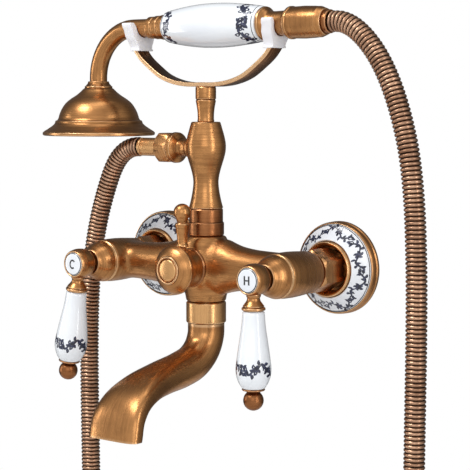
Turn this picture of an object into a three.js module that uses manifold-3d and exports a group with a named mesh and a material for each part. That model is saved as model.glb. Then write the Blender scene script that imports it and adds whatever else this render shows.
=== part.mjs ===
// Wall mounted bath mixer with a cradle, a telephone hand shower and its hose.
// Millimetres. +X is to the right, +Y goes into the wall and +Z is up. The wall is
// the plane y = 0, and the origin is halfway between the two wall inlets.

import * as THREE from 'three';
import { mergeVertices } from 'three/addons/utils/BufferGeometryUtils.js';
import Module from 'manifold-3d';

const wasm = await Module();
wasm.setup();

// ---------------------------------------------------------------- dimensions

const gap = 0.3; // left between pieces that touch
const inletSpacing = 150; // between the two inlet axes
const bodyDepth = 49.3; // from the wall to the barrel's axis
const fineSides = 16;
const plainSides = 12;

const flange = { radius: 30.6, depth: 7.6, footWidth: 2.5, plateBack: 2, plateFront: 4 };
const flangeRing = { radius: 28.9, innerRadius: 18.7, front: 8.2, dome: 7.4 };
const flangeCup = { rimRadius: 17.6, rimDepth: 18, wall: 1.3, floor: 8.6 };
const union = { radius: 10.4, bore: 7.5, tail: 15 };
const unionNut = { acrossFlats: 25, lip: 9, cupGap: 3.9, valveGap: 1.5 };
const unionWasher = { bore: 6.4, thickness: 2 };
const inlet = { radius: 7.6, bore: 5.5, flangeThickness: 2 };

const valve = { back: 13.3, front: 21.4, backRadius: 13.4, radius: 14.6, frontRadius: 14.1 };
const cartridge = { radius: 9.2, depthBehind: 26.4, headHeight: 6 };
const bonnet = { length: 12.2, noseRadius: 8.6, wall: 3.6 };
const stem = { radius: 4, inCartridge: 19, inHub: 5 };
const hub = { radius: 10, length: 13, neckGap: 2.8, backRadius: 8.6, leverAxis: 6.7 };
const button = { radius: 7.6, thickness: 2.1, crown: 0.6 };
const handleScrew = { headRadius: 3.6, headHeight: 2.2, radius: 1.6, length: 9 };
const collar = { neck: 4, radius: 7.4, top: 10.3, bottom: 19, spigot: 2.6, spigotDepth: 4 };
const handle = { topRadius: 6.7, radius: 11, bottomRadius: 7.3, belly: 35, length: 48 };
const handleRod = { radius: 2.4, past: 5 };
const finial = { radius: 6.4, washerRadius: 7.3, drop: 7.4 };
const coldTilt = 9; // degrees that the cold lever stands open

const barrel = { top: 20.2, bottom: -22.3, topRadius: 11.6, radius: 14.8, bottomRadius: 13.1 };
const arm = { rootRadius: 15, rootHalf: 12, radius: 14, halfWaist: 28, endRadius: 13.2, endLength: 20 };
const boss = { radius: 13.3, proud: 0.6 };
const waterway = { arm: 5, barrel: 6, diverter: 9.5 };
const riserThread = { radius: 9, length: 12.2, lipDepth: 1.5 };
const spoutThread = { radius: 11.4, bore: 8, length: 10.7 };

const diverterBonnet = { length: 1.6, skirt: 6 };
const diverterHub = { backRadius: 12.8, rimRadius: 15.8, length: 15, domeHeight: 6.4 };
const diverterCap = { radius: 7.5, thickness: 2.4 };
const diverterStem = { radius: 4, length: 26, inHub: 4 };
const diverterLever = { axis: 6.4, rod: 2.4, inHub: 4, foot: 3.3, shoulder: 4.8, ball: 5.7, ballRise: 37 };

const spoutNut = { radius: 13.3, top: 23.5, length: 14.3, lip: 1.6 };
const spout = { radius: 12.2, wall: 1.8, mouthWidth: 41, mouthThickness: 12.4, neckRadius: 9.3 };
const spoutTail = { radius: 7.5, top: 25.5, bore: 5.4, flangeThickness: 1.6, grooveDepth: 1.5 };
const oRing = { section: 0.7, height: 29.5 };

const riserNut = { radius: 12, upperRadius: 11.2, length: 17.6, lip: 3.4 };
const column = { height: 57.1, footRadius: 11.4, waist: 8.35, belly: 13.25, shoulder: 9.85 };
const columnBore = { radius: 5, belowTop: 12 };
const outlet = { height: 39.6, radius: 5.6, reach: 23.5, flangeRadius: 10.35, flangeThickness: 4 };
const outletThread = { radius: 7.2, length: 8, bore: 3.6 };
const post = { height: 22.7, foot: 5.4, radius: 6.8, spigot: 4, spigotDepth: 7.5, tenon: 3 };
const grubScrew = { radius: 1.5, length: 5, height: 52.8 };
const band = { width: 12, thickness: 2.8, halfSpan: 59.5, rise: 24.5, flat: 12 };
const fork = { thickness: 8, foot: 14.6, footHeight: 6, jaw: 22.4, spread: 3, lean: 3, sleeve: 0.8 };
const forkSeat = { axisRise: 15.1, prong: 18.4, slack: 0.5 };

const neck = { radius: 6.05, bore: 4.6, bend: 34, bellX: -98.1, drop: 40.4, tailX: 62, inBell: 4.6 };
const neckFerrule = { from: -49, to: -32, radius: 8.3 };
const grip = { to: 48.7, leftRadius: 10.4, radius: 14.5, rightRadius: 11.2 };
const tail = { flare: 11, waist: 7.8, length: 20.3, thread: 7.2, threadLength: 11, bore: 4.5 };
const bell = { collar: 6.4, shoulder: 9.4, belly: 24.5, bead: 29.1, rim: 39, height: 37.6, wall: 1.5 };
const sprayPlate = { radius: 30, thickness: 1.8, rise: 3.8, holes: 8, holeRadius: 1.2, holeCircle: 20 };

const hose = { radius: 6.7, sides: 8, steps: 36 };
const hoseNut = { acrossFlats: 19.4, length: 10.7, lip: 2 };
const hoseSleeve = { radius: 6.2, length: 18.7, bore: 4 };
const coneNut = { radius: 10.4, endRadius: 8.4, length: 28.3, lip: 17 };
const hoseRing = { radius: 7.4, length: 3.4 };

// The hose's centreline, from the riser's outlet, down, round and up to the hand shower.
const hoseRoute = [
  [-58.4, -49.3, 78], [-65.8, -49.3, 77.3], [-73, -49.3, 74.4], [-79.2, -49.4, 69.2], [-84.1, -49.5, 62.2],
  [-88.6, -49.6, 52.8], [-92.7, -49.7, 42.6], [-96.8, -49.9, 30.4], [-101, -50, 14.5], [-104.6, -50, -5],
  [-107.1, -50, -30], [-108.3, -50, -62], [-108.4, -50, -102], [-107.7, -50, -160], [-107, -50, -240],
  [-106.5, -50, -355], [-99.9, -50, -394.8], [-80.7, -50, -431.5], [-50.7, -50, -461],
  [28.8, -50, -486.5], [108.2, -50, -461], [138.2, -50, -431.5], [157.4, -50, -394.8], [164, -50, -355],
  [164.6, -50, -210], [165.6, -50, -90], [166, -50, -30], [165.5, -50, 12], [163.4, -49.9, 50],
  [159.7, -49.8, 77], [155.5, -49.7, 94], [150.7, -49.6, 108.4], [145.6, -49.5, 120.4],
  [140.6, -49.4, 129.8], [135.3, -49.3, 137.8], [129.6, -49.3, 144.7], [123.5, -49.3, 150.5],
  [117, -49.3, 155], [109.6, -49.3, 157.9], [102.1, -49.3, 158.4],
];
const hoseSplit = 0.5; // how far along its length the two halves of the hose meet
const hoseBreak = 0.0003; // the part of its length left open between them

// ---------------------------------------------------------------- finishes

const brass = { color: 0xb8733a, roughness: 0.35, metalness: 1 };
const rawBrass = { color: 0xc9a04e, roughness: 0.4, metalness: 1 };
const steel = { color: 0xc4c6c8, roughness: 0.3, metalness: 1 };
const porcelain = { color: 0xf3f5f8, roughness: 0.12, metalness: 0 };
const whitePlastic = { color: 0xe9e7ea, roughness: 0.4, metalness: 0 };
const rubber = { color: 0x1c1c1c, roughness: 0.8, metalness: 0 };
const bronze = { color: 0x7a5233, roughness: 0.4, metalness: 1 };

// ---------------------------------------------------------------- shape tools

// Turns the triangles over where the body would be inside out.
function outward(geometry) {
  const position = geometry.attributes.position;
  const index = geometry.index.array;
  const [a, b, c] = [new THREE.Vector3(), new THREE.Vector3(), new THREE.Vector3()];
  let volume = 0;
  for (let i = 0; i < index.length; i += 3) {
    a.fromBufferAttribute(position, index[i]);
    b.fromBufferAttribute(position, index[i + 1]);
    c.fromBufferAttribute(position, index[i + 2]);
    volume += a.dot(b.cross(c));
  }
  if (volume < 0) index.reverse();
  return geometry;
}

// A copy with one vertex per corner, no collapsed triangles and its faces out.
function welded(geometry) {
  const bare = geometry.clone();
  bare.deleteAttribute('normal');
  bare.deleteAttribute('uv');
  const merged = mergeVertices(bare, 1e-4);
  const source = merged.index.array;
  const kept = [];
  for (let i = 0; i < source.length; i += 3) {
    const [a, b, c] = source.slice(i, i + 3);
    if (a !== b && b !== c && c !== a) kept.push(a, b, c);
  }
  merged.setIndex(kept);
  return outward(merged);
}

function toManifold(geometry) {
  const clean = welded(geometry);
  return new wasm.Manifold(new wasm.Mesh({
    numProp: 3,
    vertProperties: new Float32Array(clean.attributes.position.array),
    triVerts: new Uint32Array(clean.index.array),
  }));
}

function fromManifold(body) {
  const mesh = body.getMesh();
  const geometry = new THREE.BufferGeometry();
  geometry.setAttribute('position', new THREE.BufferAttribute(mesh.vertProperties, 3));
  geometry.setIndex(new THREE.BufferAttribute(mesh.triVerts, 1));
  return geometry;
}

function joined(...geometries) {
  return fromManifold(geometries.map(toManifold).reduce((sum, next) => sum.add(next)));
}

function cut(geometry, ...tools) {
  const rest = tools.map(toManifold).reduce((body, tool) => body.subtract(tool), toManifold(geometry));
  return fromManifold(rest);
}

// A body turned about Z from [radius, height] corners. A profile that starts off
// the axis is a ring, and closes on itself.
function turned(profile, sides = plainSides) {
  const points = profile.map(([radius, height]) => new THREE.Vector2(radius, height));
  if (points[0].x > 0) points.push(points[0].clone());
  return welded(new THREE.LatheGeometry(points, sides).rotateX(Math.PI / 2));
}

function rod(radius, from, to, sides = plainSides) {
  return turned([[0, from], [radius, from], [radius, to], [0, to]], sides);
}

function hexPrism(acrossFlats, from, to) {
  return turned([[0, from], [hexCorner(acrossFlats), from], [hexCorner(acrossFlats), to], [0, to]], 6);
}

function hexCorner(acrossFlats) {
  return acrossFlats / Math.sqrt(3);
}

// Corners of an arc in [radius, height], angles in degrees up from the radius axis.
function arc(centreRadius, centreHeight, radius, from, to, steps) {
  return Array.from({ length: steps + 1 }, (_, i) => {
    const angle = THREE.MathUtils.degToRad(from + ((to - from) * i) / steps);
    return [centreRadius + radius * Math.cos(angle), centreHeight + radius * Math.sin(angle)];
  });
}

// A body through a list of rings with equal counts of corners. It ends in flat
// caps, or, as a sleeve, its last ring joins its first.
function lofted(rings, sleeve = false) {
  const sides = rings[0].length;
  const corners = rings.flat();
  const index = [];
  const spans = sleeve ? rings.length : rings.length - 1;
  for (let i = 0; i < spans; i += 1) {
    const here = i * sides;
    const next = ((i + 1) % rings.length) * sides;
    for (let j = 0; j < sides; j += 1) {
      const k = (j + 1) % sides;
      index.push(here + j, here + k, next + k, here + j, next + k, next + j);
    }
  }
  if (!sleeve) {
    const last = (rings.length - 1) * sides;
    for (let j = 1; j < sides - 1; j += 1) {
      index.push(0, j + 1, j, last, last + j, last + j + 1);
    }
  }
  const geometry = new THREE.BufferGeometry().setFromPoints(corners);
  geometry.setIndex(index);
  return outward(geometry);
}

function regularShape(radius, sides) {
  return new THREE.Shape(Array.from({ length: sides }, (_, i) => {
    const angle = (2 * Math.PI * i) / sides;
    return new THREE.Vector2(radius * Math.cos(angle), radius * Math.sin(angle));
  }));
}

// A round tube along a curve, solid where its bore is 0.
function tube(path, radius, bore, sides, steps) {
  const shape = regularShape(radius, sides);
  if (bore > 0) shape.holes.push(new THREE.Path(regularShape(bore, sides).getPoints().reverse()));
  return welded(new THREE.ExtrudeGeometry(shape, { extrudePath: path, steps, curveSegments: 1 }));
}

// ---------------------------------------------------------------- scene tools

function piece(parent, name, geometry, finish) {
  geometry.computeVertexNormals();
  const mesh = new THREE.Mesh(geometry, new THREE.MeshStandardMaterial(finish));
  mesh.name = name;
  parent.add(mesh);
  return mesh;
}

function frameAt(parent, position, rotation = [0, 0, 0]) {
  const group = new THREE.Group();
  group.position.set(...position);
  group.rotation.set(...rotation);
  parent.add(group);
  return group;
}

const quarter = Math.PI / 2;
const facingOut = [quarter, 0, 0]; // local Z goes out from the wall, local Y goes up
const alongX = [0, quarter, 0]; // local Z goes to the right
const againstX = [0, -quarter, 0]; // local Z goes to the left

// ---------------------------------------------------------------- wall connections

const valveBack = bodyDepth - valve.back;
const nutFront = valveBack - unionNut.valveGap;
const nutBack = flangeCup.floor + unionNut.cupGap;
const inletTail = nutFront - unionNut.lip - gap;
const unionEnd = inletTail - inlet.flangeThickness - gap - unionWasher.thickness - gap;

function wallFlange() {
  const recess = flangeRing.radius + gap;
  const bore = union.radius + 2;
  const foot = flange.radius - flange.footWidth;
  return turned([
    [bore, flange.plateBack], [foot, flange.plateBack], [foot, 0], [flange.radius, 0],
    [flange.radius, flange.depth - 3], [flange.radius - 0.4, flange.depth - 1], [recess + 0.6, flange.depth],
    [recess, flange.depth], [recess, flange.plateFront], [bore, flange.plateFront],
  ], fineSides);
}

function porcelainRing() {
  const back = flange.plateFront + gap;
  return turned([
    [flangeRing.innerRadius, back], [flangeRing.radius, back], [flangeRing.radius, flangeRing.front - 1],
    [flangeRing.radius - 1, flangeRing.front],
    [flangeRing.radius - 4.4, flangeRing.front + 0.33 * flangeRing.dome],
    [flangeRing.innerRadius + 0.6, flangeRing.front + flangeRing.dome],
    [flangeRing.innerRadius, flangeRing.front + flangeRing.dome - 0.4],
  ], fineSides);
}

function cup() {
  const seat = flange.plateFront + gap;
  const foot = flangeRing.innerRadius - gap;
  const throat = hexCorner(unionNut.acrossFlats) + 3 * gap;
  return turned([
    [union.radius + gap, seat], [foot, seat], [foot, flangeCup.floor],
    [flangeCup.rimRadius, flangeCup.rimDepth - 1],
    [flangeCup.rimRadius - flangeCup.wall / 2, flangeCup.rimDepth],
    [flangeCup.rimRadius - flangeCup.wall, flangeCup.rimDepth - 1],
    [throat, flangeCup.floor + gap], [union.radius + gap, flangeCup.floor],
  ], fineSides);
}

function wallUnion() {
  return turned([
    [union.bore, -union.tail], [union.radius, -union.tail], [union.radius, unionEnd], [union.bore, unionEnd],
  ]);
}

function washer() {
  return turned([
    [unionWasher.bore, unionEnd + gap], [union.radius, unionEnd + gap],
    [union.radius, unionEnd + gap + unionWasher.thickness],
    [unionWasher.bore, unionEnd + gap + unionWasher.thickness],
  ]);
}

function hexUnionNut() {
  return cut(
    hexPrism(unionNut.acrossFlats, nutBack, nutFront),
    rod(union.radius + gap, nutBack - 1, nutFront - unionNut.lip),
    rod(inlet.radius + gap, nutBack, nutFront + 1),
  );
}

function addWallConnection(side, frame) {
  piece(frame, `${side}_wall_union`, wallUnion(), rawBrass);
  piece(frame, `${side}_wall_flange`, wallFlange(), brass);
  piece(frame, `${side}_flange_ring`, porcelainRing(), porcelain);
  piece(frame, `${side}_flange_cup`, cup(), brass);
  piece(frame, `${side}_union_nut`, hexUnionNut(), brass);
  piece(frame, `${side}_union_washer`, washer(), rubber);
}

// ---------------------------------------------------------------- valve and lever

const valveFront = bodyDepth + valve.front;
const cartridgeBack = valveFront - cartridge.depthBehind;
const bonnetBack = valveFront + gap;
const bonnetFront = bonnetBack + bonnet.length;
const hubBack = bonnetFront + hub.neckGap;
const hubFront = hubBack + hub.length;
const hubAxis = hubBack + hub.leverAxis;
const stemBack = valveFront + cartridge.headHeight - stem.inCartridge;
const stemFront = hubBack + stem.inHub;
const buttonBack = hubFront - button.thickness;
const screwSeat = buttonBack - gap - handleScrew.headHeight - gap;

function cartridgeBody() {
  const front = valveFront + cartridge.headHeight;
  const well = stem.radius + gap;
  return turned([
    [0, cartridgeBack + gap], [cartridge.radius, cartridgeBack + gap], [cartridge.radius, front],
    [well, front], [well, stemBack - gap], [0, stemBack - gap],
  ]);
}

function bonnetShell() {
  const room = cartridge.radius + gap;
  const roof = valveFront + cartridge.headHeight + gap;
  const bore = stem.radius + 2 * gap;
  return turned([
    [room, bonnetBack], [valve.frontRadius, bonnetBack], [valve.frontRadius - 0.8, bonnetBack + 2.6],
    [room + bonnet.wall - 0.4, roof], [bonnet.noseRadius, bonnetFront], [bore, bonnetFront],
    [bore, roof + 1], [room, roof],
  ], fineSides);
}

function valveStem() {
  return turned([
    [0, stemBack], [stem.radius, stemBack], [stem.radius, stemFront], [handleScrew.radius + gap, stemFront],
    [handleScrew.radius + gap, screwSeat - handleScrew.length - 1], [0, screwSeat - handleScrew.length - 1],
  ]);
}

function leverHub() {
  const recess = button.radius + gap;
  const headWell = handleScrew.headRadius + gap;
  const body = turned([
    [stem.radius + gap, hubBack], [hub.backRadius, hubBack], [hub.radius, hubBack + 2.6],
    [hub.radius, hubFront - 2.4], [hub.radius - 0.8, hubFront - 0.5], [recess + 0.5, hubFront],
    [recess, hubFront], [recess, buttonBack - gap], [headWell, buttonBack - gap], [headWell, screwSeat - gap],
    [handleScrew.radius + gap, screwSeat - gap], [handleScrew.radius + gap, stemFront + gap],
    [stem.radius + gap, stemFront + gap],
  ], fineSides);
  const socket = rod(collar.spigot + gap, hub.radius - collar.spigotDepth - gap, hub.radius + 2, 12);
  return cut(body, socket.rotateX(quarter).translate(0, 0, hubAxis));
}

function indexButton() {
  return turned([
    [0, buttonBack], [button.radius, buttonBack], [button.radius, hubFront],
    [button.radius - 1, hubFront + button.crown - 0.2], [0, hubFront + button.crown],
  ]);
}

function leverScrew() {
  return turned([
    [0, screwSeat - handleScrew.length], [handleScrew.radius, screwSeat - handleScrew.length],
    [handleScrew.radius, screwSeat], [handleScrew.headRadius, screwSeat],
    [handleScrew.headRadius, screwSeat + handleScrew.headHeight], [0, screwSeat + handleScrew.headHeight],
  ], 12);
}

// The lever's own heights count from the valve axis towards its tip.
const handleTop = collar.bottom + gap;
const handleBottom = handleTop + handle.length;
const rodEnd = handleBottom + handleRod.past;
const ballCentre = handleBottom + gap + finial.drop;

function leverCollar() {
  return turned([
    [0, hub.radius - collar.spigotDepth], [collar.spigot, hub.radius - collar.spigotDepth],
    [collar.spigot, collar.top], [collar.neck, collar.top], [collar.neck - 0.3, collar.top + 2],
    [collar.radius - 0.8, collar.bottom - 2.2], [collar.radius, collar.bottom - 1.3],
    [collar.radius, collar.bottom - 0.4], [collar.radius - 1, collar.bottom],
    [handleRod.radius, collar.bottom], [handleRod.radius, rodEnd], [0, rodEnd],
  ], fineSides);
}

function leverPorcelain() {
  const bore = handleRod.radius + gap;
  return turned([
    [bore, handleTop], [handle.topRadius, handleTop], [handle.topRadius + 1, handleTop + 9],
    [handle.radius - 0.8, handleTop + handle.belly - 8], [handle.radius, handleTop + handle.belly],
    [handle.radius - 0.8, handleBottom - 7], [handle.bottomRadius + 0.9, handleBottom - 1.6],
    [handle.bottomRadius, handleBottom], [bore, handleBottom],
  ], fineSides);
}

function leverFinial() {
  const seat = handleBottom + gap;
  const well = handleRod.radius + gap;
  const ball = arc(0, ballCentre, finial.radius, -46, 90, 6);
  return turned([
    [0, rodEnd + gap], [well, rodEnd + gap], [well, seat], [finial.washerRadius, seat],
    [finial.washerRadius, seat + 1], [finial.radius - 1.6, seat + 2], ...ball.slice(0, -1),
    [0, ballCentre + finial.radius],
  ]);
}

function addValve(side, frame, tilt) {
  piece(frame, `${side}_cartridge`, cartridgeBody(), rawBrass);
  piece(frame, `${side}_bonnet`, bonnetShell(), brass);
  piece(frame, `${side}_stem`, valveStem(), rawBrass);
  const lever = frameAt(frame, [0, 0, 0], [0, 0, THREE.MathUtils.degToRad(tilt)]);
  piece(lever, `${side}_lever_hub`, leverHub(), brass);
  piece(lever, `${side}_index_button`, indexButton(), porcelain);
  piece(lever, `${side}_handle_screw`, leverScrew(), steel);
  const hanging = frameAt(lever, [0, 0, hubAxis], [quarter, 0, 0]);
  piece(hanging, `${side}_lever_collar`, leverCollar(), brass);
  piece(hanging, `${side}_lever_porcelain`, leverPorcelain(), porcelain);
  piece(hanging, `${side}_lever_finial`, leverFinial(), brass);
}

// ---------------------------------------------------------------- mixer body

const riserThreadTop = barrel.top + riserThread.length;
const spoutThreadEnd = barrel.bottom - spoutThread.length;
const bossFront = bodyDepth + barrel.radius + boss.proud;

function valveCasting() {
  return turned([
    [0, inletTail - inlet.flangeThickness], [union.radius - gap, inletTail - inlet.flangeThickness],
    [union.radius - gap, inletTail], [inlet.radius, inletTail], [inlet.radius, valveBack],
    [valve.backRadius - 0.9, valveBack], [valve.backRadius, valveBack + 1],
    [valve.radius - 0.2, valveBack + 16], [valve.radius, valveBack + 21],
    [valve.radius, valveFront - 5], [valve.frontRadius, valveFront], [0, valveFront],
  ], fineSides);
}

function valveBores() {
  return joined(
    rod(cartridge.radius + gap, cartridgeBack, valveFront + 1),
    rod(inlet.bore, inletTail - inlet.flangeThickness - 1, cartridgeBack + 1, 12),
  );
}

function barrelCasting() {
  return turned([
    [0, spoutThreadEnd], [spoutThread.radius, spoutThreadEnd], [spoutThread.radius, barrel.bottom],
    [barrel.bottomRadius, barrel.bottom], [barrel.bottomRadius + 0.4, barrel.bottom + 3],
    [barrel.radius, -10], [barrel.radius, 10], [barrel.topRadius + 1.2, barrel.top - 3],
    [barrel.topRadius, barrel.top], [riserThread.radius, barrel.top], [riserThread.radius, riserThreadTop],
    [0, riserThreadTop],
  ], fineSides);
}

function armCasting() {
  const end = inletSpacing / 2;
  return turned([
    [0, -end], [arm.endRadius, -end], [arm.endRadius, arm.endLength - end], [arm.radius, -arm.halfWaist],
    [arm.rootRadius, -arm.rootHalf], [arm.rootRadius, arm.rootHalf], [arm.radius, arm.halfWaist],
    [arm.endRadius, end - arm.endLength], [arm.endRadius, end], [0, end],
  ], fineSides);
}

function mixerBody() {
  const outwards = (geometry, x) => geometry.rotateX(quarter).translate(x, 0, 0);
  const onBarrel = (geometry) => geometry.translate(0, -bodyDepth, 0);
  const reach = inletSpacing / 2;
  return cut(
    joined(
      outwards(valveCasting(), -reach),
      outwards(valveCasting(), reach),
      onBarrel(barrelCasting()),
      onBarrel(armCasting().rotateY(quarter)),
      outwards(rod(boss.radius, bodyDepth, bossFront, fineSides), 0),
    ),
    outwards(valveBores(), -reach),
    outwards(valveBores(), reach),
    onBarrel(rod(waterway.arm, -reach, reach, 12).rotateY(quarter)),
    onBarrel(rod(waterway.barrel, -spoutThread.length, riserThreadTop + 1, 12)),
    onBarrel(rod(spoutThread.bore, spoutThreadEnd - 1, 0)),
    outwards(rod(waterway.diverter, bodyDepth - waterway.barrel, bossFront + 1), 0),
  );
}

// ---------------------------------------------------------------- diverter

const diverterBonnetBack = bossFront + gap;
const diverterBonnetFront = diverterBonnetBack + diverterBonnet.length;
const diverterSkirtBack = bossFront - diverterBonnet.skirt;
const diverterHubBack = diverterBonnetFront + gap;
const diverterRim = diverterHubBack + diverterHub.length;
const diverterFace = diverterRim + diverterHub.domeHeight;
const diverterStemFront = diverterHubBack + diverterStem.inHub;
const diverterStemBack = diverterStemFront - diverterStem.length;
const diverterLeverAxis = diverterHubBack + diverterLever.axis;

function diverterCartridge() {
  const well = diverterStem.radius + gap;
  const back = bodyDepth - waterway.barrel + gap;
  return turned([
    [well, back], [waterway.diverter - gap, back], [waterway.diverter - gap, diverterSkirtBack - gap],
    [well, diverterSkirtBack - gap],
  ]);
}

function diverterRingNut() {
  const bore = diverterStem.radius + gap;
  const skirt = waterway.diverter - gap;
  return turned([
    [bore, diverterSkirtBack], [skirt, diverterSkirtBack], [skirt, diverterBonnetBack],
    [boss.radius - 0.2, diverterBonnetBack], [boss.radius - 0.2, diverterBonnetFront - 0.5],
    [boss.radius - 0.7, diverterBonnetFront], [bore, diverterBonnetFront],
  ]);
}

function diverterKnob() {
  const well = diverterStem.radius + gap;
  const recess = diverterCap.radius + gap;
  const capSeat = diverterFace - diverterCap.thickness;
  const body = turned([
    [well, diverterHubBack], [diverterHub.backRadius, diverterHubBack],
    [diverterHub.backRadius + 0.4, diverterHubBack + 8], [diverterHub.rimRadius, diverterRim - 1],
    [diverterHub.rimRadius, diverterRim], [diverterHub.rimRadius - 1.6, diverterRim + 2],
    [diverterHub.rimRadius - 4.4, diverterRim + 4.4], [recess + 0.6, diverterFace],
    [recess, diverterFace - 0.3], [recess, capSeat], [handleScrew.radius, capSeat],
    [handleScrew.radius, diverterStemFront + gap],
    [well, diverterStemFront + gap],
  ], fineSides);
  const socketFloor = diverterHub.backRadius - diverterLever.inHub - gap;
  const socket = rod(diverterLever.rod + gap, socketFloor, diverterHub.rimRadius + 4);
  return cut(body, socket.rotateX(-quarter).translate(0, 0, diverterLeverAxis));
}

function diverterButton() {
  const back = diverterFace - diverterCap.thickness + gap;
  const front = diverterFace + 0.4;
  return turned([
    [0, back], [diverterCap.radius, back], [diverterCap.radius, front - 0.8],
    [diverterCap.radius - 1.4, front], [0, front + 0.7],
  ]);
}

function diverterHandle() {
  const rodFoot = diverterHub.backRadius - diverterLever.inHub;
  const collarFoot = diverterHub.backRadius + 1.6;
  const ball = arc(0, diverterLever.ballRise, diverterLever.ball, -44, 90, 6);
  return turned([
    [0, rodFoot], [diverterLever.rod, rodFoot], [diverterLever.rod, collarFoot],
    [diverterLever.foot + 0.9, collarFoot], [diverterLever.foot, 17.5], [diverterLever.shoulder, 28.5],
    [diverterLever.shoulder, 29.8], [diverterLever.foot, 30.6], [diverterLever.foot + 1, 31.4],
    ...ball.slice(0, -1), [0, diverterLever.ballRise + diverterLever.ball],
  ]);
}

function addDiverter(frame) {
  piece(frame, 'diverter_cartridge', diverterCartridge(), whitePlastic);
  piece(frame, 'diverter_bonnet', diverterRingNut(), brass);
  piece(frame, 'diverter_stem', rod(diverterStem.radius, diverterStemBack, diverterStemFront, 12), rawBrass);
  piece(frame, 'diverter_hub', diverterKnob(), brass);
  piece(frame, 'diverter_cap', diverterButton(), brass);
  const upright = frameAt(frame, [0, 0, diverterLeverAxis], [-quarter, 0, 0]);
  piece(upright, 'diverter_lever', diverterHandle(), brass);
}

// ---------------------------------------------------------------- spout

const spoutNutEnd = -spoutNut.top - spoutNut.length;
const spoutTop = spoutNutEnd - gap;

// The spout's centreline, seen from the side, as forward reach and height.
const spoutLine = [
  [0, 0], [0.4, -8], [4.5, -17], [13.5, -24.5], [27, -28.5], [46, -31.5], [63.5, -35.5], [77.5, -42.5],
  [85, -51.5], [88.5, -64],
];

function spoutRings(inset) {
  const points = spoutLine.map(([reach, height]) => new THREE.Vector3(0, -reach, spoutTop + height));
  const path = new THREE.CatmullRomCurve3(points);
  const steps = 12;
  const sides = 16;
  return Array.from({ length: steps + 1 }, (_, i) => {
    const along = i / steps;
    const centre = path.getPointAt(along);
    const forward = path.getTangentAt(along);
    const flat = THREE.MathUtils.smoothstep(along, 0.25, 1);
    const halfWidth = THREE.MathUtils.lerp(spout.radius, spout.mouthWidth / 2, flat ** 1.6) - inset;
    const halfHeight = THREE.MathUtils.lerp(spout.radius, spout.mouthThickness / 2, flat) - inset;
    const across = new THREE.Vector3(1, 0, 0);
    const level = i === 0 || i === steps;
    const up = level ? new THREE.Vector3(0, -1, 0) : across.clone().cross(forward).normalize();
    const side = Math.sign(up.y) || 1;
    return Array.from({ length: sides }, (_unused, j) => {
      const angle = (2 * Math.PI * j) / sides;
      return centre.clone()
        .addScaledVector(across, halfWidth * Math.cos(angle))
        .addScaledVector(up, -side * halfHeight * Math.sin(angle));
    });
  });
}

function spoutBody() {
  const shell = lofted([...spoutRings(0), ...spoutRings(spout.wall).reverse()], true);
  const flangeTop = spoutNutEnd + spoutNut.lip + gap + spoutTail.flangeThickness;
  const grooveHalf = oRing.section + gap;
  const grooveFloor = spoutTail.radius - spoutTail.grooveDepth;
  const neckPiece = turned([
    [spoutTail.bore, spoutTop - 1], [spout.radius - 0.4, spoutTop - 1], [spout.radius - 0.4, spoutTop],
    [spout.neckRadius, spoutTop], [spout.neckRadius, flangeTop - spoutTail.flangeThickness],
    [spoutThread.radius - gap, flangeTop - spoutTail.flangeThickness], [spoutThread.radius - gap, flangeTop],
    [spoutTail.radius, flangeTop], [spoutTail.radius, -oRing.height - grooveHalf],
    [grooveFloor, -oRing.height - grooveHalf], [grooveFloor, -oRing.height + grooveHalf],
    [spoutTail.radius, -oRing.height + grooveHalf], [spoutTail.radius, -spoutTail.top],
    [spoutTail.bore, -spoutTail.top],
  ], fineSides);
  return joined(shell, neckPiece);
}

function collarNut() {
  return turned([
    [spoutThread.radius + gap, -spoutNut.top], [spoutNut.radius - 0.5, -spoutNut.top],
    [spoutNut.radius, -spoutNut.top - 0.6], [spoutNut.radius, spoutNutEnd + 0.6],
    [spoutNut.radius - 0.5, spoutNutEnd], [spout.neckRadius + gap, spoutNutEnd],
    [spout.neckRadius + gap, spoutNutEnd + spoutNut.lip],
    [spoutThread.radius + gap, spoutNutEnd + spoutNut.lip],
  ], fineSides);
}

function addSpout(frame) {
  piece(frame, 'spout_nut', collarNut(), brass);
  const sealRadius = spoutTail.radius - spoutTail.grooveDepth + gap + oRing.section;
  const seal = new THREE.TorusGeometry(sealRadius, oRing.section, 6, plainSides);
  piece(frame, 'spout_o_ring', welded(seal.translate(0, 0, -oRing.height)), rubber);
  piece(frame, 'spout', spoutBody(), brass);
}

// ---------------------------------------------------------------- riser and cradle

const riserNutBottom = barrel.top + gap;
const riserNutTop = riserNutBottom + riserNut.length;
const columnBottom = riserNutTop + gap;
const columnTop = columnBottom + column.height;
const outletZ = columnBottom + outlet.height;
const postBottom = columnTop + gap;
const postTop = postBottom + post.height;
const bandBottom = postTop + gap;
const handsetZ = bandBottom + band.rise + forkSeat.axisRise;

function riserRing() {
  const lipBottom = riserNutTop - riserNut.lip;
  const middle = riserNutBottom + riserNut.length / 2;
  const spigot = riserThread.radius - riserThread.lipDepth + gap;
  return turned([
    [riserThread.radius + gap, riserNutBottom], [riserNut.radius, riserNutBottom], [riserNut.radius, middle],
    [riserNut.upperRadius, middle + 0.5], [riserNut.upperRadius, riserNutTop], [spigot, riserNutTop],
    [spigot, lipBottom], [riserThread.radius + gap, lipBottom],
  ], fineSides);
}

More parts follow.
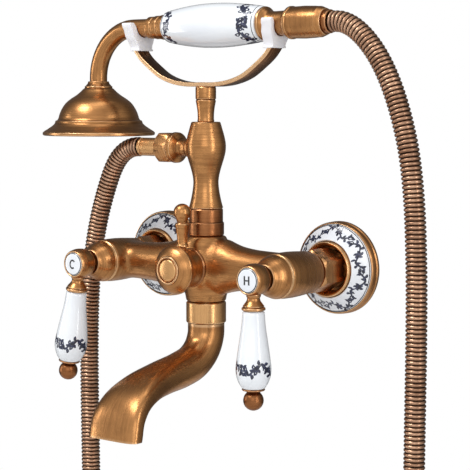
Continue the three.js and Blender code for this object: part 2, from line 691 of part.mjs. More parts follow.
function columnCasting() {
  const tailTop = riserNutTop - riserNut.lip - gap;
  const tailBottom = riserThreadTop + gap;
  const tailRadius = riserThread.radius - riserThread.lipDepth;
  const boreTop = columnTop - columnBore.belowTop;
  const socket = post.spigot + gap;
  const socketFloor = columnTop - post.spigotDepth - gap;
  return turned([
    [0, boreTop], [columnBore.radius, boreTop], [columnBore.radius, tailBottom],
    [riserThread.radius, tailBottom], [riserThread.radius, tailTop], [tailRadius, tailTop],
    [tailRadius, columnBottom], [column.footRadius, columnBottom],
    [column.footRadius - 0.3, columnBottom + 1.5], [column.waist + 0.7, columnBottom + 11],
    [column.waist, columnBottom + 17.4], [column.waist + 1.4, columnBottom + 25],
    [column.belly - 1, columnBottom + 33.5], [column.belly, outletZ], [column.belly - 0.8, outletZ + 6],
    [column.shoulder + 0.8, columnTop - 4.5], [column.shoulder, columnTop], [socket, columnTop],
    [socket, socketFloor], [0, socketFloor],
  ], fineSides);
}

function riserColumn() {
  const flangeEnd = outlet.reach + outlet.flangeThickness;
  const threadEnd = flangeEnd + outletThread.length;
  const branch = turned([
    [0, columnBore.radius + 1], [outlet.radius + 1.5, columnBore.radius + 1],
    [outlet.radius + 1.5, column.belly],
    [outlet.radius, column.belly + 3], [outlet.radius, outlet.reach - 2],
    [outlet.flangeRadius - 1, outlet.reach], [outlet.flangeRadius, outlet.reach + 1],
    [outlet.flangeRadius, flangeEnd], [outletThread.radius, flangeEnd], [outletThread.radius, threadEnd],
    [0, threadEnd],
  ]);
  const toOutlet = (geometry) => geometry.rotateY(-quarter).translate(0, 0, outletZ);
  const screwHole = rod(grubScrew.radius + gap, post.spigot, column.belly + 2, 12);
  return cut(
    joined(columnCasting(), toOutlet(branch)),
    toOutlet(rod(outletThread.bore, 0, threadEnd + 1, 12)),
    screwHole.rotateX(-quarter).translate(0, 0, columnBottom + grubScrew.height),
  );
}

function cradlePost() {
  return turned([
    [0, columnTop - post.spigotDepth], [post.spigot, columnTop - post.spigotDepth], [post.spigot, postBottom],
    [post.foot, postBottom], [post.foot, postBottom + 5], [post.radius - 0.2, postBottom + 13.6],
    [post.radius - 0.6, postBottom + 14.2], [post.radius, postBottom + 14.8], [post.radius - 0.2, postTop],
    [post.tenon, postTop], [post.tenon, bandBottom + band.thickness], [0, bandBottom + band.thickness],
  ]);
}

// Half of the band's lower line, from the middle out to the fork, as x and height.
const bandLine = [
  [0, 0], [band.flat, 0], [band.flat + 12, 1.6], [band.flat + 24, 5.6], [band.flat + 35, 12.6],
  [band.halfSpan - 5, 18.5], [band.halfSpan, band.rise],
];

// The band's solid, or, grown by a clearance all round, the room that it needs.
function bandSolid(clearance) {
  const right = bandLine.map(([x, height]) => new THREE.Vector2(x, bandBottom + height));
  const left = right.slice(1).reverse().map((point) => new THREE.Vector2(-point.x, point.y));
  const line = new THREE.SplineCurve([...left, ...right]);
  const steps = 24;
  const edge = (rise) => Array.from({ length: steps + 1 }, (_, i) => {
    const tangent = line.getTangentAt(i / steps);
    const overrun = clearance * (Number(i === steps) - Number(i === 0));
    const point = line.getPointAt(i / steps).addScaledVector(tangent, overrun);
    return new THREE.Vector2(point.x - tangent.y * rise, point.y + tangent.x * rise);
  });
  const outline = new THREE.Shape([...edge(-clearance), ...edge(band.thickness + clearance).reverse()]);
  const depth = band.width + 2 * clearance;
  const solid = new THREE.ExtrudeGeometry(outline, { depth, bevelEnabled: false });
  return solid.rotateX(quarter).translate(0, depth / 2, 0);
}

function cradleBand() {
  const hole = rod(post.tenon + gap, bandBottom - 1, bandBottom + band.thickness + 1);
  return cut(bandSolid(0), hole);
}

// A fork is cut from a plate in the YZ plane. Its seat fits what lies in it.
function forkBody(side, carriedRadius) {
  const bottom = -forkSeat.axisRise - fork.sleeve + gap;
  const top = forkSeat.prong - forkSeat.axisRise;
  const seat = carriedRadius + forkSeat.slack;
  const mouth = seat + 1.6;
  const outline = new THREE.Shape();
  outline.moveTo(-fork.foot / 2, bottom);
  outline.lineTo(fork.foot / 2, bottom);
  outline.lineTo(fork.foot / 2, bottom + fork.footHeight);
  outline.lineTo(fork.jaw / 2, -seat + 1);
  outline.lineTo(fork.jaw / 2 + fork.spread / 2, top);
  outline.lineTo(mouth, top);
  outline.lineTo(seat, 0);
  outline.absarc(0, 0, seat, 0, -Math.PI, true);
  outline.lineTo(-mouth, top);
  outline.lineTo(-fork.jaw / 2 - fork.spread / 2, top);
  outline.lineTo(-fork.jaw / 2, -seat + 1);
  outline.lineTo(-fork.foot / 2, bottom + fork.footHeight);
  const plate = new THREE.ExtrudeGeometry(outline, {
    depth: fork.thickness, bevelEnabled: false, curveSegments: 8,
  });
  // Shape x goes to Y, shape y to Z and the plate's depth to X.
  plate.applyMatrix4(new THREE.Matrix4().set(0, 0, 1, 0, 1, 0, 0, 0, 0, 1, 0, 0, 0, 0, 0, 1));
  plate.translate(-fork.thickness / 2, 0, 0);
  const slope = (side * fork.lean) / forkSeat.prong;
  plate.applyMatrix4(new THREE.Matrix4().set(1, 0, slope, 0, 0, 1, 0, 0, 0, 0, 1, 0, 0, 0, 0, 1));
  return plate;
}

function addFork(frame, name, side, carriedRadius) {
  const x = side * band.halfSpan;
  const body = forkBody(side, carriedRadius).translate(x, 0, handsetZ);
  piece(frame, name, cut(body, bandSolid(gap)), whitePlastic);
}

function addRiser(frame) {
  piece(frame, 'riser_nut', riserRing(), brass);
  piece(frame, 'riser_column', riserColumn(), brass);
  piece(frame, 'cradle_post', cradlePost(), brass);
  const screwFrom = post.spigot + gap;
  const screw = rod(grubScrew.radius, screwFrom, screwFrom + grubScrew.length, 8).rotateX(-quarter);
  piece(frame, 'post_grub_screw', screw.translate(0, 0, columnBottom + grubScrew.height), steel);
  piece(frame, 'cradle_band', cradleBand(), brass);
  addFork(frame, 'fork_left', -1, neck.radius);
  addFork(frame, 'fork_right', 1, tail.waist);
}

// ---------------------------------------------------------------- hand shower

const gripFrom = neckFerrule.to + gap;
const tailFrom = grip.to + gap;
const tailTo = tailFrom + tail.length;
const bellCollarTop = -neck.drop + neck.inBell;

function neckPath() {
  const path = new THREE.CurvePath();
  const bendStart = neck.bellX + neck.bend;
  const corner = new THREE.Vector3(neck.bellX, 0, 0);
  const start = new THREE.Vector3(neck.tailX, 0, 0);
  const bendFrom = new THREE.Vector3(bendStart, 0, 0);
  const bendTo = new THREE.Vector3(neck.bellX, 0, -neck.bend);
  const pull = 0.5523;
  path.add(new THREE.LineCurve3(start, bendFrom));
  path.add(new THREE.CubicBezierCurve3(
    bendFrom, bendFrom.clone().lerp(corner, pull), bendTo.clone().lerp(corner, pull), bendTo,
  ));
  path.add(new THREE.LineCurve3(bendTo, new THREE.Vector3(neck.bellX, 0, -neck.drop)));
  return path;
}

function neckTube() {
  return tube(neckPath(), neck.radius, neck.bore, 10, 15);
}

function ferrule() {
  const bore = neck.radius + gap;
  const from = neckFerrule.from;
  const third = (neckFerrule.to - from) / 3;
  const rings = [0, 1, 2].flatMap((i) => {
    const radius = neckFerrule.radius - 0.9 + 0.45 * i;
    const start = from + third * i;
    const end = start + third;
    return [[radius - 0.7, start], [radius, start + 0.8], [radius, end - 0.8], [radius - 0.6, end - 0.1]];
  });
  return turned([[bore, from], ...rings, [bore, neckFerrule.to]]);
}

function gripBody() {
  const bore = neck.radius + gap;
  const length = grip.to - gripFrom;
  const middle = gripFrom + length / 2;
  return turned([
    [bore, gripFrom], [grip.leftRadius - 0.6, gripFrom], [grip.leftRadius, gripFrom + 1],
    [grip.leftRadius + 2, gripFrom + 12], [grip.radius - 0.5, middle - 14], [grip.radius, middle],
    [grip.radius - 0.4, middle + 14], [grip.rightRadius + 1.6, grip.to - 12], [grip.rightRadius, grip.to - 1],
    [grip.rightRadius - 0.6, grip.to], [bore, grip.to],
  ], fineSides);
}

function tailPiece() {
  const bore = neck.radius + gap;
  const floor = neck.tailX + gap;
  return turned([
    [bore, tailFrom], [tail.flare - 0.8, tailFrom], [tail.flare, tailFrom + 1],
    [tail.flare - 0.6, tailFrom + 3],
    [tail.waist + 0.9, tailFrom + 4.6], [tail.waist, tailFrom + 6.2], [tail.waist, tailTo - 1.4],
    [tail.waist + 0.8, tailTo], [tail.thread, tailTo], [tail.thread, tailTo + tail.threadLength],
    [tail.bore, tailTo + tail.threadLength], [tail.bore, floor], [bore, floor],
  ], fineSides);
}

// The bell's heights count up from its rim.
function bellShell() {
  const { wall, height } = bell;
  const seat = sprayPlate.radius + gap;
  const seatTop = sprayPlate.rise + sprayPlate.thickness + gap;
  const bore = neck.radius + gap;
  return turned([
    [seat, sprayPlate.rise - 0.6], [bell.rim - 1.6, 0.4], [bell.rim - 0.6, 0], [bell.rim, 0.7],
    [bell.rim - 3.6, 2.4], [bell.bead + 1.6, seatTop + 1],
    [bell.bead, height - 28.6], [bell.bead, height - 27.4],
    [bell.bead - 2, height - 25.6], [bell.belly, height - 19.8], [bell.belly - 6, height - 11.3],
    [bell.shoulder + 3, height - 6.9], [bell.shoulder, height - 5], [bell.shoulder, height - 3.9],
    [bell.shoulder - 1.8, height - 1.4], [bell.collar + 0.8, height], [bore, height], [bore, height - 6],
    [bell.shoulder - 1, height - 6.5 - wall], [bell.belly - 6 - wall, height - 12.4],
    [bell.belly - wall, height - 21], [bell.bead - 2.2 - wall, height - 26.6], [seat - 2, seatTop + 1.4],
    [seat - 0.2, seatTop],
  ], fineSides);
}

function sprayFace() {
  const top = sprayPlate.rise + sprayPlate.thickness;
  const holes = Array.from({ length: sprayPlate.holes }, (_, i) => {
    const angle = (2 * Math.PI * i) / sprayPlate.holes;
    const [x, y] = [Math.cos(angle), Math.sin(angle)].map((share) => share * sprayPlate.holeCircle);
    return rod(sprayPlate.holeRadius, sprayPlate.rise - 1, top + 1, 6).translate(x, y, 0);
  });
  return cut(rod(sprayPlate.radius, sprayPlate.rise, top, fineSides), ...holes);
}

function addHandset(frame) {
  piece(frame, 'neck_tube', neckTube(), brass);
  const lengthwise = frameAt(frame, [0, 0, 0], alongX);
  piece(lengthwise, 'neck_ferrule', ferrule(), brass);
  piece(lengthwise, 'handset_grip', gripBody(), porcelain);
  piece(lengthwise, 'handset_tail', tailPiece(), brass);
  const rimHeight = bellCollarTop - bell.height;
  const head = frameAt(frame, [neck.bellX, 0, rimHeight]);
  piece(head, 'shower_bell', bellShell(), brass);
  piece(head, 'spray_plate', sprayFace(), steel);
}

// ---------------------------------------------------------------- hose

function hexHoseNut() {
  const from = outlet.reach + outlet.flangeThickness + gap;
  const to = from + hoseNut.length;
  return cut(
    hexPrism(hoseNut.acrossFlats, from, to),
    rod(outletThread.radius + gap, from - 1, to - hoseNut.lip),
    rod(hoseSleeve.bore, from, to + 1, 12),
  );
}

function sleeve() {
  const from = outlet.reach + outlet.flangeThickness + gap + hoseNut.length + gap;
  const to = from + hoseSleeve.length;
  return turned([
    [hoseSleeve.bore, from], [hoseSleeve.radius, from], [hoseSleeve.radius, to - 0.6],
    [hoseSleeve.radius - 0.6, to], [hoseSleeve.bore, to],
  ]);
}

function longConeNut() {
  const from = tailTo + gap;
  const to = from + coneNut.length;
  const bore = tail.thread + gap;
  return turned([
    [bore, from], [coneNut.radius - 0.8, from], [coneNut.radius, from + 1.6], [coneNut.radius, from + 6],
    [coneNut.radius - 0.7, to - 3.6], [coneNut.endRadius, to], [hoseSleeve.bore, to],
    [hoseSleeve.bore, to - coneNut.lip], [bore, to - coneNut.lip],
  ], fineSides);
}

function endRing() {
  const from = tailTo + gap + coneNut.length + gap;
  const to = from + hoseRing.length;
  return turned([
    [hoseSleeve.bore, from], [hoseRing.radius - 0.6, from], [hoseRing.radius, from + 0.7],
    [hoseRing.radius, to - 0.7], [hoseRing.radius - 0.6, to], [hoseSleeve.bore, to],
  ]);
}

// A stretch of a longer curve, between two fractions of its length.
class Stretch extends THREE.Curve {
  constructor(whole, from, to) {
    super();
    Object.assign(this, { whole, from, to });
  }

  getPoint(t, target) {
    return this.whole.getPointAt(THREE.MathUtils.lerp(this.from, this.to, t), target);
  }
}

function hoseRun(from, to) {
  const route = new THREE.CatmullRomCurve3(hoseRoute.map((point) => new THREE.Vector3(...point)));
  return tube(new Stretch(route, from, to), hose.radius, 0, hose.sides, hose.steps);
}

function addHose(root) {
  const riserSide = frameAt(root, [0, -bodyDepth, outletZ], againstX);
  piece(riserSide, 'hose_nut_riser', hexHoseNut(), brass);
  piece(riserSide, 'hose_ferrule_riser', sleeve(), brass);
  const handsetSide = frameAt(root, [0, -bodyDepth, handsetZ], alongX);
  piece(handsetSide, 'hose_nut_handset', longConeNut(), brass);
  piece(handsetSide, 'hose_ferrule_handset', endRing(), brass);
  piece(root, 'hose_run_fixed', hoseRun(0, hoseSplit), bronze);
  piece(root, 'hose_run_handset', hoseRun(hoseSplit + hoseBreak, 1), bronze);
}

// ---------------------------------------------------------------- assembly

const faucet = new THREE.Group();
const wallSides = [
  { side: 'hot', x: inletSpacing / 2, tilt: 0 },
  { side: 'cold', x: -inletSpacing / 2, tilt: -coldTilt },
];
for (const { side, x, tilt } of wallSides) {
  const frame = frameAt(faucet, [x, 0, 0], facingOut);
  addWallConnection(side, frame);
  addValve(side, frame, tilt);
}
piece(faucet, 'mixer_body', mixerBody(), brass);
addDiverter(frameAt(faucet, [0, 0, 0], facingOut));
const onBarrelAxis = frameAt(faucet, [0, -bodyDepth, 0]);
addSpout(onBarrelAxis);
addRiser(onBarrelAxis);
addHandset(frameAt(faucet, [0, -bodyDepth, handsetZ]));
addHose(faucet);

export default faucet;
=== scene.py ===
"""Looks of the wall mounted bath mixer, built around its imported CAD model.

Sizes are in millimetres, and are read from the boxes of the CAD nodes where a piece has to meet
another; meshes are made in metres. Nearly every piece is one or more grids: a list of rings, each
a closed loop of points, joined from ring to ring.
"""

import math

import bmesh
import bpy
import numpy as np
from mathutils import Matrix, Vector


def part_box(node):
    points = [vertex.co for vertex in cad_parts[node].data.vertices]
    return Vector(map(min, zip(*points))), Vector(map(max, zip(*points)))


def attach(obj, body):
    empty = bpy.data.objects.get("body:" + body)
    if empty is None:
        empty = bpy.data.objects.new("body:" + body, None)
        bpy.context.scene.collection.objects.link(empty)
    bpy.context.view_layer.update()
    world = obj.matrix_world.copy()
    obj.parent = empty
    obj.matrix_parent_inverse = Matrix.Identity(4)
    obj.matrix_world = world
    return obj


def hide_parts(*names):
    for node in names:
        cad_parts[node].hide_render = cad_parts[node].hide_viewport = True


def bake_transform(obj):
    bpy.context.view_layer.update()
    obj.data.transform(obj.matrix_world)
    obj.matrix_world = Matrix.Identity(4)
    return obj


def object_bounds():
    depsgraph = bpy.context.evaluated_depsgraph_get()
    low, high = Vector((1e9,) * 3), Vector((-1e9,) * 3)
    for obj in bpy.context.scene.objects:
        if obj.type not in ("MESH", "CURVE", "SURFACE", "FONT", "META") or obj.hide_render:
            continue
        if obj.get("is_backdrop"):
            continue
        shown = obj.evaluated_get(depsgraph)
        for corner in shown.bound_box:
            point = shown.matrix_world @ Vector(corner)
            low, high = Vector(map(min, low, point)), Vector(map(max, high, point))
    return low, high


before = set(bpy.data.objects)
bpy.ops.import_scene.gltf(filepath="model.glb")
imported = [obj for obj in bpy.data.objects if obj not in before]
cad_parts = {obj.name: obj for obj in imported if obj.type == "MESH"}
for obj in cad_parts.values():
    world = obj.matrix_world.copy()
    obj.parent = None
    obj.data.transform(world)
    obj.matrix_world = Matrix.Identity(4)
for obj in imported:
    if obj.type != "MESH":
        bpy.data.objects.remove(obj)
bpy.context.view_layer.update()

MM = 0.001
GAP = 0.3  # between pieces that meet
ROUND = 0.35  # rounding of an edge that states none
PROUD = 0.05  # how far painted lines stand out of the glaze
SUNK = 0.12  # how far they reach into it
FINE, COARSE = 2.4, 0.05  # turns of brush noise per mm, across and along the brush lines

HERE = Matrix.Identity(4)
OUT = Matrix.Rotation(math.pi / 2, 4, "X")  # local Z comes out of the wall, local Y is up
RIGHT = Matrix.Rotation(math.pi / 2, 4, "Y")  # local Z goes to the right
LEFT = Matrix.Rotation(-math.pi / 2, 4, "Y")  # local Z goes to the left


# ---- places read from the CAD

def span(node, axis):
    """Where a node starts and ends along an axis."""
    low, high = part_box(node)
    k = "xyz".index(axis)
    return low[k] / MM, high[k] / MM


def middle(node, axis):
    return sum(span(node, axis)) / 2


def depths(node):
    """How far out of the wall a node starts and ends."""
    low, high = span(node, "y")
    return -high, -low


def reach(node, axis):
    """Half of a node's size along an axis."""
    low, high = span(node, axis)
    return (high - low) / 2


def at(x, y, z, turn=HERE):
    return Matrix.Translation(Vector((x, y, z)) * MM) @ turn


AXIS_DEPTH = -middle("riser_nut", "y")
HANDSET_Z = middle("handset_grip", "z")
UPRIGHT = at(0, -AXIS_DEPTH, 0)
OUTLET = at(0, -AXIS_DEPTH, middle("hose_nut_riser", "z"), LEFT)
HANDSET = at(0, -AXIS_DEPTH, HANDSET_Z, RIGHT)


# ---- materials

MIX_SHARE, MIX_A, MIX_B = 0, 2, 3  # sockets of a mix of numbers
MIX_COLOUR_A, MIX_COLOUR_B, MIX_COLOUR = 6, 7, 2  # and of a mix of colours


def shader(name, settings):
    """A material, its node tree, and its shader with the settings that are the same all over."""
    material = bpy.data.materials.new(name)
    material.use_nodes = True
    surface = material.node_tree.nodes["Principled BSDF"]
    for socket, value in settings.items():
        surface.inputs[socket].default_value = value
    return material, material.node_tree, surface


def drive(surface, socket, value):
    surface.id_data.links.new(value, surface.inputs[socket])


def noise(tree, vector, scale, detail=3.0, roughness=0.5):
    node = tree.nodes.new("ShaderNodeTexNoise")
    node.inputs["Scale"].default_value = scale
    node.inputs["Detail"].default_value = detail
    node.inputs["Roughness"].default_value = roughness
    tree.links.new(vector, node.inputs["Vector"])
    return node.outputs["Fac"]


def ramp(tree, value, low, high, start=0.0, end=1.0):
    """Goes from start to end as value goes from low to high, and stays there outside them."""
    node = tree.nodes.new("ShaderNodeMapRange")
    node.inputs["From Min"].default_value = low
    node.inputs["From Max"].default_value = high
    node.inputs["To Min"].default_value = start
    node.inputs["To Max"].default_value = end
    tree.links.new(value, node.inputs["Value"])
    return node.outputs["Result"]


def blended(tree, share, first, second):
    """Mixes two colours, each a tuple or a socket, by a share."""
    node = tree.nodes.new("ShaderNodeMix")
    node.data_type = "RGBA"
    tree.links.new(share, node.inputs[MIX_SHARE])
    for colour, socket in ((first, MIX_COLOUR_A), (second, MIX_COLOUR_B)):
        if isinstance(colour, tuple):
            node.inputs[socket].default_value = (*colour, 1)
        else:
            tree.links.new(colour, node.inputs[socket])
    return node.outputs[MIX_COLOUR]


def total(tree, *values):
    result = values[0]
    for value in values[1:]:
        node = tree.nodes.new("ShaderNodeMath")
        node.operation = "ADD"
        tree.links.new(result, node.inputs[0])
        tree.links.new(value, node.inputs[1])
        result = node.outputs[0]
    return result


def attribute(tree, name, output):
    node = tree.nodes.new("ShaderNodeAttribute")
    node.attribute_name = name
    return node.outputs[output]


def place_in_object(tree):
    return tree.nodes.new("ShaderNodeTexCoord").outputs["Object"]


def bump(tree, surface, height, strength, distance):
    node = tree.nodes.new("ShaderNodeBump")
    node.inputs["Strength"].default_value = strength
    node.inputs["Distance"].default_value = distance
    tree.links.new(height, node.inputs["Height"])
    drive(surface, "Normal", node.outputs["Normal"])


def brushed_metal(name, bright, body, dark, rough, patina, streak):
    """Brushed and aged metal: edges bright with wear and painted highlight, corners dark with patina and
    painted shade, dark patches.
    """
    material, tree, surface = shader(name, {"Metallic": 1.0})
    brush = attribute(tree, "brush", "Vector")
    wear_and_light = attribute(tree, "wear_and_light", "Fac")
    clouds = noise(tree, place_in_object(tree), 42.0, 4.0, 0.6)
    lines = noise(tree, brush, 1.0, 4.0, 0.62)
    bands = noise(tree, brush, 0.16, 2.0)
    tarnish_and_shade = total(
        tree,
        ramp(tree, clouds, 0.45, 0.75, 0.0, patina),
        ramp(tree, lines, 0.42, 0.74, 0.0, streak),
        ramp(tree, bands, 0.5, 0.8, 0.0, 0.3 * patina),
        # painted shade, with patina: inside corners darkened
        ramp(tree, wear_and_light, -0.6, -0.05, 0.75, 0.0),
    )
    aged_and_shaded = blended(tree, ramp(tree, tarnish_and_shade, 0.0, 1.0), body, dark)
    # painted highlight, with rubbed wear: outside edges lightened towards the bright colour
    rubbed_and_highlit = ramp(tree, wear_and_light, 0.25, 0.95, 0.0, 0.7)
    drive(surface, "Base Color", blended(tree, rubbed_and_highlit, aged_and_shaded, bright))
    scratched = ramp(tree, lines, 0.3, 0.7, rough - 0.05, rough + 0.08)
    drive(surface, "Roughness", total(tree, scratched, ramp(tree, clouds, 0.4, 0.7, 0.0, 0.07)))
    bump(tree, surface, lines, 0.16, 0.00025)
    return material


def ribbed_bronze():
    """The hose: tan ridges over grooves painted nearly black as shade."""
    material, tree, surface = shader("ribbed_bronze", {"Metallic": 1.0})
    wear_and_light = attribute(tree, "wear_and_light", "Fac")
    clouds = noise(tree, place_in_object(tree), 60.0, 4.0, 0.6)
    ridge = blended(tree, ramp(tree, clouds, 0.35, 0.7), (0.56, 0.34, 0.22), (0.28, 0.15, 0.09))
    # painted shade: the colour of the grooves between the ribs
    groove_shade = (0.012, 0.006, 0.004)
    drive(surface, "Base Color", blended(tree, ramp(tree, wear_and_light, -0.35, 0.55), groove_shade, ridge))
    drive(surface, "Roughness", ramp(tree, clouds, 0.3, 0.7, 0.26, 0.4))
    bump(tree, surface, noise(tree, place_in_object(tree), 900.0), 0.08, 0.0002)
    return material


def glazed_porcelain():
    """White glaze, faintly uneven, with painted grey shade along its tight outside edges."""
    material, tree, surface = shader("glazed_porcelain", {"Coat Weight": 0.6, "Coat Roughness": 0.04})
    where = place_in_object(tree)
    clouds = noise(tree, where, 35.0)
    glaze = blended(tree, ramp(tree, clouds, 0.3, 0.7), (0.83, 0.86, 0.89), (0.77, 0.80, 0.85))
    # painted shade: tight outside edges greyed
    edges = ramp(tree, attribute(tree, "wear_and_light", "Fac"), 0.4, 1.0, 0.0, 0.35)
    drive(surface, "Base Color", blended(tree, edges, glaze, (0.45, 0.44, 0.46)))
    drive(surface, "Roughness", ramp(tree, noise(tree, where, 180.0), 0.3, 0.7, 0.1, 0.17))
    bump(tree, surface, noise(tree, where, 120.0, 2.0), 0.03, 0.0003)
    return material


def painted_line(name, deep, pale):
    """Glaze paint, thicker and thinner along its strokes."""
    material, tree, surface = shader(name, {"Coat Weight": 0.5, "Coat Roughness": 0.05})
    pooled = noise(tree, place_in_object(tree), 700.0, 3.0)
    drive(surface, "Base Color", blended(tree, ramp(tree, pooled, 0.42, 0.72), deep, pale))
    drive(surface, "Roughness", ramp(tree, pooled, 0.3, 0.7, 0.16, 0.3))
    return material


def moulded(name, first, second, rough, scatter):
    """Moulded plastic or rubber, faintly mottled."""
    material, tree, surface = shader(
        name, {"Subsurface Weight": scatter, "Subsurface Radius": (0.003, 0.003, 0.0035)}
    )
    where = place_in_object(tree)
    drive(surface, "Base Color", blended(tree, noise(tree, where, 90.0), first, second))
    drive(surface, "Roughness", ramp(tree, noise(tree, where, 400.0), 0.3, 0.7, rough, rough + 0.12))
    bump(tree, surface, noise(tree, where, 1500.0, 2.0), 0.05, 0.0002)
    return material


ANTIQUE = brushed_metal(
    "antique_copper_brass", (0.95, 0.63, 0.36), (0.57, 0.272, 0.10), (0.13, 0.052, 0.019),
    rough=0.25, patina=0.42, streak=0.6,
)
GILT = brushed_metal(
    "bright_copper_brass", (0.96, 0.69, 0.41), (0.73, 0.41, 0.175), (0.38, 0.175, 0.065),
    rough=0.25, patina=0.28, streak=0.45,
)
UMBER = brushed_metal(
    "dark_copper_brass", (0.74, 0.40, 0.20), (0.36, 0.145, 0.055), (0.09, 0.03, 0.011),
    rough=0.28, patina=0.45, streak=0.5,
)
RAW_BRASS = brushed_metal(
    "machined_brass", (0.85, 0.70, 0.38), (0.70, 0.52, 0.24), (0.34, 0.22, 0.09),
    rough=0.3, patina=0.3, streak=0.4,
)
STEEL = brushed_metal(
    "machined_steel", (0.75, 0.75, 0.76), (0.56, 0.56, 0.57), (0.25, 0.25, 0.26),
    rough=0.28, patina=0.2, streak=0.4,
)
BRONZE = ribbed_bronze()
PORCELAIN = glazed_porcelain()
NAVY = painted_line("navy_glaze_paint", (0.006, 0.008, 0.022), (0.05, 0.06, 0.13))
INK = painted_line("black_glaze_paint", (0.008, 0.008, 0.009), (0.04, 0.04, 0.045))
CLIP = moulded("satin_white_plastic", (0.86, 0.86, 0.88), (0.78, 0.77, 0.81), 0.28, 0.3)
RUBBER = moulded("black_rubber", (0.015, 0.015, 0.015), (0.04, 0.04, 0.04), 0.6, 0.0)


# ---- lines and profiles

def steps_of(line):
    """The distances between a line's points."""
    return np.linalg.norm(np.diff(line, axis=0), axis=1)


def directions(line):
    """The way a line runs at each of its points."""
    forward = np.gradient(line, axis=0)
    return forward / np.maximum(np.linalg.norm(forward, axis=1, keepdims=True), 1e-9)


def around(sides):
    """Angles evenly round a circle."""
    return np.linspace(0, 2 * math.pi, sides, endpoint=False)


def polar(radius, angle, height):
    """Points at a radius, an angle and a height."""
    across, up = radius * np.cos(angle), radius * np.sin(angle)
    return np.stack(np.broadcast_arrays(across, up, height), axis=-1)


def from_corner(radius, height, points):
    """Corners whose radii and heights are counted from a radius and a height."""
    return [(radius + out, height + up, *rounding) for out, up, *rounding in points]


def outline(corners, step=2.2):
    """Corners as (radius, height) or (radius, height, rounding), rounded, and long runs divided.

    A list that starts off the axis closes on itself.
    """
    ring = corners[0][0] > 0
    soft = rounded(corners, ring)
    divided = []
    for here, after in zip(soft, soft[1:] + soft[:1] if ring else soft[1:]):
        count = max(1, math.ceil((after - here).length / step))
        divided += [here.lerp(after, i / count) for i in range(count)]
    if not ring:
        divided.append(soft[-1])
    return np.array([[p.x, p.y] for p in divided])


def rounded(corners, ring):
    """The corners as points, with an arc of points in place of each that turns."""
    points = [Vector(corner[:2]) for corner in corners]
    soft = []
    for i, point in enumerate(points):
        if not ring and i in (0, len(points) - 1):
            soft.append(point)
            continue
        back, ahead = points[i - 1] - point, points[(i + 1) % len(points)] - point
        turn = math.pi - back.angle(ahead)
        rounding = corners[i][2] if len(corners[i]) > 2 else ROUND
        if turn < 0.09 or rounding == 0:
            soft.append(point)
            continue
        cut = min(rounding * math.tan(turn / 2), 0.45 * back.length, 0.45 * ahead.length)
        start, end = point + back.normalized() * cut, point + ahead.normalized() * cut
        pieces = 2 if turn < 0.6 and rounding < 1.5 else 4
        shares = np.linspace(0, 1, pieces + 1)
        soft += [start.lerp(point, t).lerp(point.lerp(end, t), t) for t in shares]
    return soft


def curve(points, per_span=5):
    """A smooth line of (radius, height) through points, ready to be part of a list of corners."""
    return [(*point, 0.0) for point in spline(points, per_span)]


def spline(points, per_span):
    """A centripetal Catmull-Rom line through points of any size."""
    p = np.array(points, float)
    p = np.vstack([2 * p[0] - p[1], p, 2 * p[-1] - p[-2]])
    made = []
    for i in range(1, len(p) - 2):
        row = p[i - 1:i + 3]
        knots = np.concatenate([[0], np.cumsum(steps_of(row) ** 0.5)])
        for t in np.linspace(knots[1], knots[2], per_span, endpoint=False):
            first = [between(row[j], row[j + 1], knots[j], knots[j + 1], t) for j in range(3)]
            second = [between(first[j], first[j + 1], knots[j], knots[j + 2], t) for j in range(2)]
            made.append(between(second[0], second[1], knots[1], knots[2], t))
    made.append(p[-2])
    return np.array(made)


def between(a, b, start, end, t):
    """From a at start to b at end."""
    share = (t - start) / (end - start)
    return a * (1 - share) + b * share


def resampled(line, step):
    """The same line with points a step apart."""
    far = np.concatenate([[0], np.cumsum(steps_of(line))])
    wanted = np.linspace(0, far[-1], max(2, round(far[-1] / step) + 1))
    return np.stack([np.interp(wanted, far, line[:, k]) for k in range(line.shape[1])], axis=1)


# ---- grids of rings

def turned_rings(profile, sides):
    return polar(profile[:, :1], around(sides), profile[:, 1:])


def lit_and_worn(profile, ring):
    """From -1 in a tight inside corner to 1 on a tight outside edge, for painted shade and highlight as well
    as wear.
    """
    p = profile if ring else np.vstack([profile[:1], profile, profile[-1:]])
    before, after = (np.roll(p, 1, 0), np.roll(p, -1, 0)) if ring else (p[:-2], p[2:])
    here = profile
    a, b = here - before, after - here
    turn = np.arctan2(a[:, 0] * b[:, 1] - a[:, 1] * b[:, 0], (a * b).sum(1))
    length = (np.linalg.norm(a, axis=1) + np.linalg.norm(b, axis=1)) / 2
    area = (here[:, 0] * np.roll(here[:, 1], -1) - here[:, 1] * np.roll(here[:, 0], -1)).sum()
    bend = np.sign(area) * turn / np.maximum(length, 1e-6)
    if not ring:
        bend[[0, -1]] = 0
    bend = np.clip(bend * 0.6, -1, 1)
    return 0.5 * bend + 0.25 * (np.roll(bend, 1) + np.roll(bend, -1))


def brushing(rings, lengthwise):
    """Coordinates whose first axis runs fast across the brush lines."""
    moved = np.linalg.norm(np.diff(rings, axis=0), axis=2).mean(1)
    along = np.concatenate([[0], np.cumsum(moved)])[:, None] + np.zeros(rings.shape[1])
    radius = np.linalg.norm(rings - rings.mean(1, keepdims=True), axis=2)
    angle = np.linspace(0, 2 * math.pi, rings.shape[1], endpoint=False)
    across, down = (FINE, COARSE) if lengthwise else (COARSE, FINE)
    turned_by = (radius * np.cos(angle) * across, radius * np.sin(angle) * across)
    return np.stack([along * down, *turned_by], axis=2)


def grid_faces(count, sides, loop, first):
    """Quads between the rings, and a cap on both ends unless the rings close on themselves."""
    i, j = np.meshgrid(np.arange(count if loop else count - 1), np.arange(sides), indexing="ij")
    k, after = (j + 1) % sides, (i + 1) % count
    quads = np.stack([i * sides + j, i * sides + k, after * sides + k, after * sides + j], axis=2)
    faces = (quads.reshape(-1, 4) + first).tolist()
    if not loop:
        last = first + (count - 1) * sides
        faces += [list(range(first, first + sides)), list(range(last, last + sides))]
    return faces


